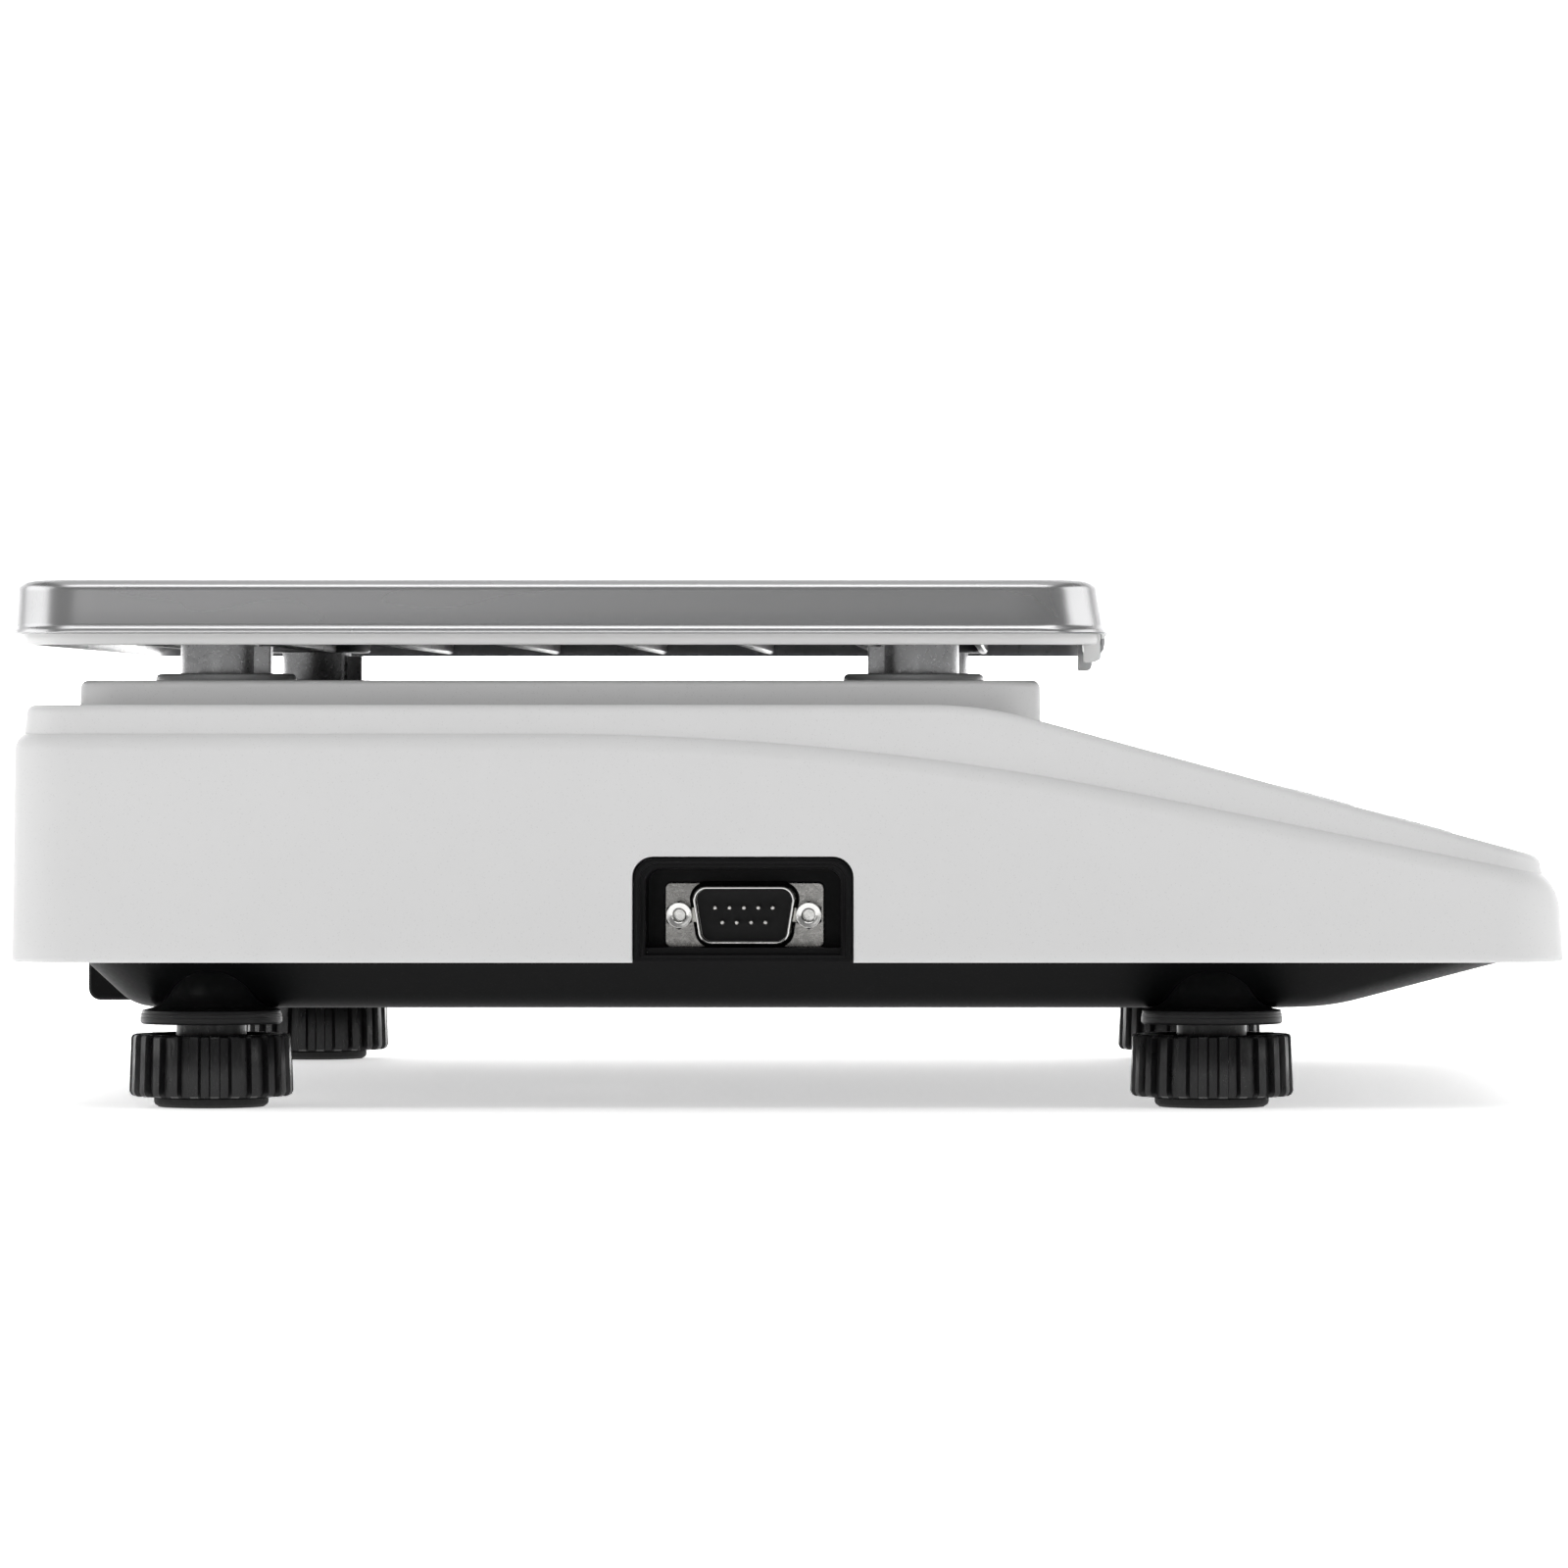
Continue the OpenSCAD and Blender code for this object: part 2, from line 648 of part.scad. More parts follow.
module spider_screws() color(steel_colour) for (x = screw_xs) translate([cell_x - x, cell_y, 0]) {
    translate([0, 0, spider_top]) cylinder(r = 5.77, h = 4, $fn = 6);
    translate([0, 0, cell_z + 6]) cylinder(r = screw_r, h = spider_top - cell_z - 5);
}

module overload_stops() color(brass_colour) for (y = post_ys) both_sides()
    translate([post_x, stop_y(y), floor_z]) {
        cylinder(r = stop_r, h = spider_z - floor_z - stop_gap);
        translate([0, 0, 12 - base_wall]) cylinder(r = 7.5, h = 5, $fn = 6);
    }

module battery() color([0.16, 0.17, 0.2]) {
    translate([0, battery_y, floor_z]) {
        plate(battery_size.x, battery_size.y, 2, 0, battery_size.z);
        for (y = [-20, 20]) block([40, y - 3, battery_size.z], [46, y + 3, battery_size.z + 2]);
    }
}

module transformer() color([0.4, 0.38, 0.36]) translate([-76, transformer_y, floor_z]) {
    block([-24, -21, 0], [24, 21, 2]);
    block([-24, -8, 2], [24, 8, 34]);
    block([-15, -17, 7], [15, 17, 29]);
}

module main_board() color(board_colour) translate([0, board_y0, board_z]) {
    cube(board_size);
    block([34, 0, 1.6], [46, 8, 8]);
    block([0, 7, 1.6], [10, 17, 8]);
    block([70, 1, 1.6], [80, 11, 8]);
    block([86, 0, 1.6], [104, 6, 8]);
    block([20, 14, 1.6], [34, 28, 3.2]);
    block([50, 18, 1.6], [64, 32, 3.4]);
    for (x = [74, 86, 98]) translate([x, 28, 1.6]) cylinder(r = 4, h = 10);
}

module display_board() color(board_colour) on_slope()
    column(board_w_x, key_v - key_row_pitch - 9, display_v + 16, 2, board_w - board_t, board_w);

module lcd_modules() color([0.55, 0.6, 0.5]) on_slope() for (i = [-1:1])
    translate([lens_x + i * lcd_pitch, display_v, 0]) plate(lcd_w + 4, lcd_l + 4, 1, board_w, -wall - 0.2);

module display_lens() color([0.3, 0.34, 0.36]) on_slope()
    translate([lens_x, display_v, 0]) plate(lens_w, lens_l, 3, -panel_t, -0.05);

module keypad_panel() color([0.25, 0.3, 0.38]) on_slope() difference() {
    translate([0, panel_v, 0]) plate(panel_w - 2 * key_gap, panel_l - 2 * key_gap, 4, -panel_t, 0);
    translate([lens_x, display_v, 0]) plate(lens_w + 2 * key_gap, lens_l + 2 * key_gap, 3.2, -2, 1);
    translate([vial_x, display_v, -2]) cylinder(r = vial_r + key_gap, h = 3);
    for (i = [0:2 * key_columns - 1]) translate(key_place(i))
        plate(key_w + 2 * key_gap, key_l + 2 * key_gap, 2.2, -2, 1);
}

module key_switches() color([0.2, 0.2, 0.22]) on_slope() for (i = [0:2 * key_columns - 1])
    translate(key_place(i)) {
        plate(6, 6, 0.5, board_w, board_w + 3.4);
        translate([0, 0, board_w])
            cylinder(r = 1.75, h = -board_w - wall - key_flange - 0.2 - key_travel - 0.15);
    }

module keycap(i) color([0.8, 0.82, 0.84]) on_slope() translate(key_place(i)) {
    plate(key_w, key_l, 2, -wall - 0.3, key_top);
    plate(key_w + 2.4, key_l + 2.4, 2, -wall - 0.2 - key_flange, -wall - 0.2);
}

module level_vial() color([0.75, 0.8, 0.45]) on_slope() translate([vial_x, display_v, -wall - 3]) {
    cylinder(r = vial_r, h = wall + 2.8);
    cylinder(r = vial_r + 2.2, h = 2.8);
}

// Outline of a nine-pin D shell in Y and Z, its wide side up
function d_outline(t) = [for (p = [[1, 1], [-1, 1], [-1, -1], [1, -1]])
    let(r = 2.6 - t, c = [p.x * (p.y > 0 ? 7.2 : 6.2), p.y * 3]) each
        arc(c, r, atan2(p.y, p.x) - 45 + 0, atan2(p.y, p.x) + 45, 4)];

module at_port() {
    translate([port_back_x, port_y, port_z]) children();
}

module serial_shell() color(steel_colour) at_port() difference() {
    union() {
        along_x(-flange_t, 0, rounded(-flange_w / 2, flange_w / 2, -flange_h / 2, flange_h / 2, 1.2));
        along_x(-flange_t - shell_depth, -flange_t + 0.2, d_outline(0));
    }
    along_x(-flange_t - shell_depth - 1, 1, d_outline(0.5));
    for (s = [-1, 1]) translate([-2, s * jack_pitch / 2, 0]) rotate([0, 90, 0]) cylinder(r = 1.6, h = 4);
}

module pin_places() {
    for (i = [0:4]) translate([0, (i - 2) * pin_pitch, pin_rows / 2]) children();
    for (i = [0:3]) translate([0, (i - 1.5) * pin_pitch, -pin_rows / 2]) children();
}

module serial_insulator() color(rubber_colour) at_port() difference() {
    along_x(-flange_t - 1.2, port_wall + 5, d_outline(0.6));
    pin_places() translate([-4, 0, 0]) rotate([0, 90, 0]) cylinder(r = 0.52, h = 20, $fn = 16);
}

module serial_pins() color(brass_colour) at_port() pin_places()
    translate([-flange_t - 5.3, 0, 0]) rotate([0, 90, 0]) cylinder(r = 0.5, h = 16, $fn = 16);

module jack_screws() color(steel_colour) at_port() for (s = [-1, 1])
    translate([0, s * jack_pitch / 2, 0]) rotate([0, 90, 0]) difference() {
        union() {
            translate([0, 0, -flange_t - 5]) cylinder(r = 2.77, h = 5, $fn = 6);
            translate([0, 0, -flange_t - 0.5]) cylinder(r = 1.5, h = port_wall + 3);
        }
        translate([0, 0, -flange_t - 6]) cylinder(r = 1.15, h = 6);
    }

module at_bay(x) {
    translate([x, bay_y0, bay_mid_z]) children();
}

module power_inlet() color(rubber_colour) at_bay(inlet_x) difference() {
    union() {
        block([-15.4, 0, -12], [15.4, 2.2, 12]);
        block([-inlet_w / 2, -22, -inlet_h / 2], [inlet_w / 2, 1, inlet_h / 2]);
    }
    along_y(-14.8, 3, [[-12.2, 8.2], [12.2, 8.2], [12.2, -4.2], [8.2, -8.2], [-8.2, -8.2], [-12.2, -4.2]]);
    for (p = [[-7, -2], [0, 2], [7, -2]])
        block([p.x - 1.05, -18, p.y - 2.05], [p.x + 1.05, -10, p.y + 2.05]);
}

module inlet_pins() color(brass_colour) at_bay(inlet_x)
    for (p = [[-7, -2], [0, 2], [7, -2]]) block([p.x - 1, -17.9, p.y - 2], [p.x + 1, -2.3, p.y + 2]);

module rocker_frame() color(rubber_colour) at_bay(switch_x) difference() {
    union() {
        block([-switch_w / 2 - 2, 0, -switch_h / 2 - 2], [switch_w / 2 + 2, 1.5, switch_h / 2 + 2]);
        block([-switch_w / 2, -12, -switch_h / 2], [switch_w / 2, 1, switch_h / 2]);
    }
    block([-5, -7, -8.9], [5, 3, 8.9]);
    translate([-6, rocker_y, 0]) rotate([0, 90, 0]) cylinder(r = 1.3, h = 12);
}

module rocker() color([0.12, 0.12, 0.13]) at_bay(switch_x)
    translate([0, rocker_y, 0]) rotate([rocker_tilt, 0, 0]) {
    along_x(-4.7, 4.7, [[-2, -7.9], [3.8, -7.9], [2.6, 0], [3.8, 7.9], [-2, 7.9]]);
    translate([-5.7, 0, 0]) rotate([0, 90, 0]) cylinder(r = 1.2, h = 11.4);
}

module case_screws() color(steel_colour) case_places() {
    translate([0, 0, 0.4]) cylinder(r = case_head_r, h = case_head_h - 0.4);
    translate([0, 0, 1]) cylinder(r = case_screw_r - 0.03, h = case_pad_h + 8);
}

module case_places() {
    for (y = screw_ys) both_sides() translate([case_x, y, rim_z]) children();
}

module foot_nuts() color(brass_colour) foot_places() translate([0, 0, nut_z]) difference() {
    cylinder(r = nut_r, h = nut_h);
    translate([0, 0, -1]) cylinder(r = stud_d / 2 + nut_gap, h = nut_h + 2);
}

module wiring() {
    cell_side = cell_y + cell_w / 2;
    lead_y = transformer_y - 12;
    plug_z = board_z + 5;
    battery_z = floor_z + 28;
    color([0.75, 0.75, 0.72]) lead([[40, cell_side, cell_z + 11], [40, cell_side + 2.6, cell_z + 11],
        [40, cell_side + 2.6, plug_z], [40, board_y0, plug_z]], 1.5);
    color([0.5, 0.3, 0.2]) lead([[inlet_x, bay_y0 - 22, bay_mid_z],
        [inlet_x, transformer_y + 10, bay_mid_z], [-61, transformer_y + 10, bay_mid_z]], 2);
    color([0.7, 0.6, 0.2]) lead([[-61, lead_y, plug_z], [0, lead_y, plug_z]], 1.5);
    color([0.7, 0.15, 0.12]) lead([[battery_size.x / 2, battery_y + 20, battery_z],
        [75, battery_y + 20, battery_z], [75, board_y0 + 6, battery_z],
        [75, board_y0 + 6, board_z + 8]], 1.5);
    // Ribbon cable from the main board to the display board
    ribbon_y = panel_y + 15;
    ribbon_top = slope_z(ribbon_y) + (board_w - board_t) / cos(slope_angle) - 0.6;
    color([0.6, 0.6, 0.62]) along_x(87, 103, [[board_y0, plug_z - 1], [board_y0, plug_z],
        [ribbon_y + 1, plug_z], [ribbon_y + 1, ribbon_top], [ribbon_y, ribbon_top],
        [ribbon_y, plug_z - 1]]);
}

// One fluted knob with its neck; s is -1 on the left, i is 0 at the back and 1 at the front
module at_foot(s, i) {
    translate([s * foot_x, foot_ys[i], 0]) children();
}

module foot_knob(s, i) color(base_colour) at_foot(s, i) difference() {
    union() {
        translate([0, 0, knob_z]) linear_extrude(knob_h) polygon([for (k = [0:flutes * 4 - 1])
            let(a = 90 * k / flutes, r = knob_d / 2 - (k % 4 < 2 ? 0 : flute_depth)) r * [cos(a), sin(a)]]);
        translate([0, 0, knob_top - 3]) cylinder(r = neck_r, h = neck_top - knob_top + 3);
    }
    translate([0, 0, knob_top - 2]) difference() {
        cylinder(r = knob_d / 2 - 3, h = 3);
        cylinder(r = neck_r, h = 3);
    }
    translate([0, 0, knob_z - 1]) cylinder(r = peg_r + 0.2, h = peg_h + 1.4);
    translate([0, 0, knob_z + peg_h]) cylinder(r = stud_d / 2 + 0.02, h = 30);
}

module foot_pad(s, i) color(rubber_colour) at_foot(s, i) {
    cylinder(r1 = pad_d / 2 - 0.9, r2 = pad_d / 2, h = 0.9);
    translate([0, 0, 0.9]) cylinder(r = pad_d / 2, h = pad_h - 0.9);
    translate([0, 0, pad_h - 0.5]) cylinder(r = peg_r, h = peg_h + 0.5);
}

module foot_stud(s, i) color(steel_colour) at_foot(s, i)
    translate([0, 0, knob_z + peg_h + 0.5]) cylinder(r = stud_d / 2, h = stud_top - knob_z - peg_h - 0.5);

top_housing();
base_housing();
weighing_pan();
pan_tray();
spider();
support_posts();
post_collars();
load_cell();
cell_mount();
cell_screws();
spider_screws();
overload_stops();
battery();
transformer();
main_board();
display_board();
lcd_modules();
display_lens();
keypad_panel();
key_switches();
serial_shell();
serial_insulator();
serial_pins();
jack_screws();
power_inlet();
inlet_pins();
rocker_frame();
rocker();
level_vial();
case_screws();
foot_nuts();
wiring();
foot_knob(-1, 0);  // foot_knob_rear_left
foot_knob(1, 0);  // foot_knob_rear_right
foot_knob(-1, 1);  // foot_knob_front_left
foot_knob(1, 1);  // foot_knob_front_right
foot_pad(-1, 0);  // foot_pad_rear_left
foot_pad(1, 0);  // foot_pad_rear_right
foot_pad(-1, 1);  // foot_pad_front_left
foot_pad(1, 1);  // foot_pad_front_right
foot_stud(-1, 0);  // foot_stud_rear_left
foot_stud(1, 0);  // foot_stud_rear_right
foot_stud(-1, 1);  // foot_stud_front_left
foot_stud(1, 1);  // foot_stud_front_right
keycap(0);  // key_01
keycap(1);  // key_02
keycap(2);  // key_03
keycap(3);  // key_04
keycap(4);  // key_05
keycap(5);  // key_06
keycap(6);  // key_07
keycap(7);  // key_08
keycap(8);  // key_09
keycap(9);  // key_10
keycap(10);  // key_11
keycap(11);  // key_12
keycap(12);  // key_13
keycap(13);  // key_14
keycap(14);  // key_15
keycap(15);  // key_16
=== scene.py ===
# %% [markdown]
# # Dressing a counting scale
# The scale's design is already fixed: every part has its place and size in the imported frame. This lesson
# gives each part its final surface and finish. We work in millimetres, because a maker would, and turn
# the numbers into metres only when a mesh is made.

# %% Load the frame
import math

import bmesh
import bpy
import numpy as np
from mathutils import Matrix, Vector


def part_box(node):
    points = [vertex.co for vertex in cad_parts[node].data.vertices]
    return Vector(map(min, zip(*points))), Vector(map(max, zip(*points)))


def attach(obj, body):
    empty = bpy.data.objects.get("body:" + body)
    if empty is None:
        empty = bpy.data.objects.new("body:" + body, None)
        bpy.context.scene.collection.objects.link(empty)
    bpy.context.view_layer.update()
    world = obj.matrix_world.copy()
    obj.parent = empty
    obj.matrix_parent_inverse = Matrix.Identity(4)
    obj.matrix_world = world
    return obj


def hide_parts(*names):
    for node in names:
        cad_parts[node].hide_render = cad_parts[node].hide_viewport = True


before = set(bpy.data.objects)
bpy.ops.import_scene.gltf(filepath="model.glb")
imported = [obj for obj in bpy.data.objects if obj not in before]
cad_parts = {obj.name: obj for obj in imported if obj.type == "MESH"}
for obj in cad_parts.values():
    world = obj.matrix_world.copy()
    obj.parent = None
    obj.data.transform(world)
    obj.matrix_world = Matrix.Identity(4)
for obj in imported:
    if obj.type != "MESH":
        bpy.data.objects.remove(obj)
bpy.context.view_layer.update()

# %% [markdown]
# ## Reading sizes from the frame
# A piece that is measured from the frame always fits it. `span` gives a node's box in millimetres, and
# the handful of levels and edges below are all that the shapes further down need.

# %% Levels and edges
MM = 0.001
METRES = 1000.0


def span(node):
    """Lowest and highest corner of a node, in millimetres."""
    low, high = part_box(node)
    return np.array(low) * METRES, np.array(high) * METRES


housing_low, housing_high = span("top_housing")
pan_low, pan_high = span("weighing_pan")
tray_low, tray_high = span("pan_tray")

half_w = housing_high[0]
front_y, back_y = housing_low[1], housing_high[1]
skirt_z, plinth_z = housing_low[2], housing_high[2]
PLINTH_H, SLOPE_RUN, RIM_GAP = 4.8, 112.5, 0.3
deck_z = plinth_z - PLINTH_H
slope_y = front_y + SLOPE_RUN
slope_angle = math.radians(15.2)
base_z = 19.1
rim_z = skirt_z + RIM_GAP
print(f"housing {2 * half_w:.0f} x {back_y - front_y:.0f} mm, deck at {deck_z:.1f}")

# %% [markdown]
# ## Turning arrays into meshes
# Each shape below ends as an array of points and one or more arrays of face corners. `new_mesh` puts them
# into Blender with `foreach_set`, which takes whole arrays. `weld` then joins the points that meet at a
# seam or a pole, so that the surface is closed, and turns its faces outwards.

# %% Meshes from arrays
SHARP = math.radians(32)


def new_mesh(name, points, faces):
    """A mesh from points in millimetres and a list of arrays of face corners, one array a face size."""
    mesh = bpy.data.meshes.new(name)
    corners = np.concatenate([f.ravel() for f in faces]).astype(np.int32)
    counts = np.concatenate([np.full(len(f), f.shape[1]) for f in faces])
    starts = np.concatenate([[0], np.cumsum(counts)[:-1]]).astype(np.int32)
    mesh.vertices.add(len(points))
    mesh.vertices.foreach_set("co", (np.asarray(points) * MM).astype(np.float32).ravel())
    mesh.loops.add(len(corners))
    mesh.loops.foreach_set("vertex_index", corners)
    mesh.polygons.add(len(counts))
    mesh.polygons.foreach_set("loop_start", starts)
    mesh.update(calc_edges=True)
    return weld(mesh)


def weld(mesh, gap=0.002):
    """Joins points closer than gap millimetres and turns every face outwards."""
    work = bmesh.new()
    work.from_mesh(mesh)
    bmesh.ops.remove_doubles(work, verts=work.verts, dist=gap * MM)
    bmesh.ops.dissolve_degenerate(work, edges=work.edges, dist=gap * MM * 0.1)
    bmesh.ops.recalc_face_normals(work, faces=work.faces)
    work.to_mesh(mesh)
    work.free()
    return mesh


def grid_faces(rows, columns, closed=False):
    """Corners of the quads of a grid of points; closed joins the last column to the first."""
    index = np.arange(rows * columns).reshape(rows, columns)
    if closed:
        index = np.hstack([index, index[:, :1]])
    quads = [index[:-1, :-1], index[:-1, 1:], index[1:, 1:], index[1:, :-1]]
    return np.stack(quads, axis=-1).reshape(-1, 4)


def loft(name, rings, ends=(True, True)):
    """A skin over rings of points: point (i, j) is the j-th point of ring i, with a lid on each end."""
    rings = np.asarray(rings, float)
    count, around, _ = rings.shape
    faces = [grid_faces(count, around, closed=True)]
    if ends[0]:
        faces.append(np.arange(around)[None, ::-1])
    if ends[1]:
        faces.append(np.arange(around)[None, :] + (count - 1) * around)
    return new_mesh(name, rings.reshape(-1, 3), faces)


def joined(name, meshes):
    """One mesh that holds several separate shells."""
    work = bmesh.new()
    for mesh in meshes:
        work.from_mesh(mesh)
    whole = bpy.data.meshes.new(name)
    work.to_mesh(whole)
    work.free()
    return whole


# %% [markdown]
# ## Placing a piece
# Every piece rides on one body of the frame, names the material slot it belongs to, and may stand for a
# node of the frame, which is then hidden. `place` does the three together, so that no piece is forgotten.

# %% Placing pieces
made = {}


def place(name, mesh, body, finish, instead_of=(), smooth=True):
    """Puts a mesh into the scene as a piece that rides on a body."""
    piece = bpy.data.objects.new(name, mesh)
    mesh.name = name
    bpy.context.scene.collection.objects.link(piece)
    mesh.polygons.foreach_set("use_smooth", np.full(len(mesh.polygons), smooth))
    mesh.set_sharp_from_angle(angle=SHARP)
    mesh.materials.clear()
    mesh.materials.append(finish)
    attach(piece, body)
    if instead_of:
        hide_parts(*instead_of)
    made[name] = len(mesh.polygons)
    return piece


def cut(mesh, *tools, how="DIFFERENCE"):
    """Cuts tools out of a mesh, or joins them to it, with exact booleans, and returns the result."""
    body = bpy.data.objects.new("work", mesh)
    bpy.context.scene.collection.objects.link(body)
    helpers = []
    for tool in tools:
        helper = bpy.data.objects.new("tool", tool)
        bpy.context.scene.collection.objects.link(helper)
        step = body.modifiers.new("cut", "BOOLEAN")
        step.operation = how
        step.solver = "EXACT"
        step.object = helper
        helpers.append(helper)
    bpy.context.view_layer.update()
    seen = body.evaluated_get(bpy.context.evaluated_depsgraph_get())
    result = bpy.data.meshes.new_from_object(seen)
    for helper in [body] + helpers:
        bpy.data.objects.remove(helper)
    return result


# %% [markdown]
# ## The camera
# The view is from the left side, level with the middle of the housing and about 1.9 m away, through a
# long lens. A small shift frames the scale off-centre while the verticals stay upright.

# %% Camera
CAMERA_AT = (-1.930, -0.0489, 0.0736)
camera_data = bpy.data.cameras.new("camera")
camera_data.sensor_width = 36
camera_data.lens = 211.6
camera_data.shift_x = -0.161
camera_data.shift_y = -0.035
camera = bpy.data.objects.new("camera", camera_data)
camera.location = CAMERA_AT
camera.rotation_euler = (math.radians(90), 0, math.radians(-90))
bpy.context.scene.collection.objects.link(camera)
bpy.context.scene.camera = camera
print("camera", CAMERA_AT, "lens", camera_data.lens)

# %% [markdown]
# ## Outlines
# Most pieces are rounded rectangles in plan, and many have one more a little further in. An outline is
# an array of points that always starts at the same place and has the same number of points, so that two
# outlines of different size can be joined by a skin.


# %% Rounded outlines
def rounded(half_x, half_y, radius, per_corner=8):
    """Points of a rectangle with round corners: four quarter circles, joined by straight sides."""
    angle = np.linspace(0, np.pi / 2, per_corner + 1)
    turns = np.arange(4) * np.pi / 2
    centre_x = np.array([1, -1, -1, 1]) * (half_x - radius)
    centre_y = np.array([1, 1, -1, -1]) * (half_y - radius)
    a = angle[None, :] + turns[:, None]
    x = centre_x[:, None] + radius * np.cos(a)
    y = centre_y[:, None] + radius * np.sin(a)
    return np.stack([x.ravel(), y.ravel()], axis=-1)


def disc(radius, around=48, start=0.0):
    """Points of a circle: radius times the cosine and sine of evenly spaced angles."""
    a = start + np.linspace(0, 2 * np.pi, around, endpoint=False)
    return radius * np.stack([np.cos(a), np.sin(a)], axis=-1)


def at_height(outline, z):
    """Outline points lifted to a height."""
    return np.column_stack([outline, np.full(len(outline), z)])


def lathe(name, profile, around=64, centre=(0, 0), ends=(True, True)):
    """A turned shape: each point of the profile is a radius and a height, and becomes a circle."""
    rings = [at_height(disc(r, around) + np.asarray(centre), z) for r, z in profile]
    return loft(name, rings, ends)


def quarter(steps=5):
    """Sines and cosines along a quarter circle, for rounding an edge."""
    a = np.linspace(0, np.pi / 2, steps + 1)
    return list(zip(np.sin(a), np.cos(a)))


# %% [markdown]
# ## Dishes: walls with a shaped lid
# The housing is a box whose top isn't flat: level at the back, then falling to the front. Its plan at
# each height is a rounded rectangle again. `plan` lays one out as rows from front to back, each with its
# half width, so that the lid is an ordinary grid and its border is the last ring of the wall.

# %% Plans and dishes
ACROSS = 25
CORNER_STEPS = 8


def plan(half, y0, y1, radius, stops):
    """Half width and depth of each row of a rounded rectangle.

    In the corners both follow a quarter circle; stops are shares of the straight side between them.
    """
    a = np.linspace(0, np.pi / 2, CORNER_STEPS + 1)
    front_half = half - radius + radius * np.sin(a)
    front = y0 + radius - radius * np.cos(a)
    side = y0 + radius + stops * (y1 - y0 - 2 * radius)
    halves = np.concatenate([front_half, np.full(len(stops), half), front_half[::-1]])
    return halves, np.concatenate([front, side, (y0 + y1) - front[::-1]])


def level(half, y0, y1, radius, height, stops):
    """Grid of one level: each row of the plan, spread across; height is a number or a function of Y."""
    halves, depth = plan(half, y0, y1, radius, stops)
    x = halves[:, None] * np.linspace(-1, 1, ACROSS)[None, :]
    y = np.repeat(depth[:, None], ACROSS, axis=1)
    z = height(y) if callable(height) else np.full_like(y, height)
    return np.stack([x, y, z], axis=-1)


def border(grid):
    """Border points of a grid, once round."""
    return np.concatenate([grid[0], grid[1:, -1], grid[-1, -2::-1], grid[-2:0:-1, 0]])


def dish(name, levels, stops):
    """A closed skin: a lid on the first level, a wall through the borders of all, a lid on the last."""
    grids = [level(*each, stops) for each in levels]
    walls = np.array([border(g) for g in grids])
    rows, columns, _ = grids[0].shape
    lid = grid_faces(rows, columns)
    wall = grid_faces(len(walls), walls.shape[1], closed=True)
    first, last = grids[0].reshape(-1, 3), grids[-1].reshape(-1, 3)
    points = np.concatenate([walls.reshape(-1, 3), first, last])
    here = walls.shape[0] * walls.shape[1]
    return new_mesh(name, points, [wall, lid[:, ::-1] + here, lid + here + len(first)])


# %% [markdown]
# ## Finishes
# A finish is a small tree of nodes. All of them share one recipe: a base colour that drifts slightly over
# the piece, a roughness that varies with the same grain, and a fine bump. What differs is the scale and
# the direction of the grain, so one function makes them all and short calls set the numbers. The grain
# is read from Object coordinates, which every piece has, because every piece sits at the origin.


# %% A finish from its numbers
BROAD = 28  # the colour drifts over patches this many times wider than the grain
FLECK_SIZE = (0.12, 0.2)  # where a fleck is full and where it has faded, as shares of its cell


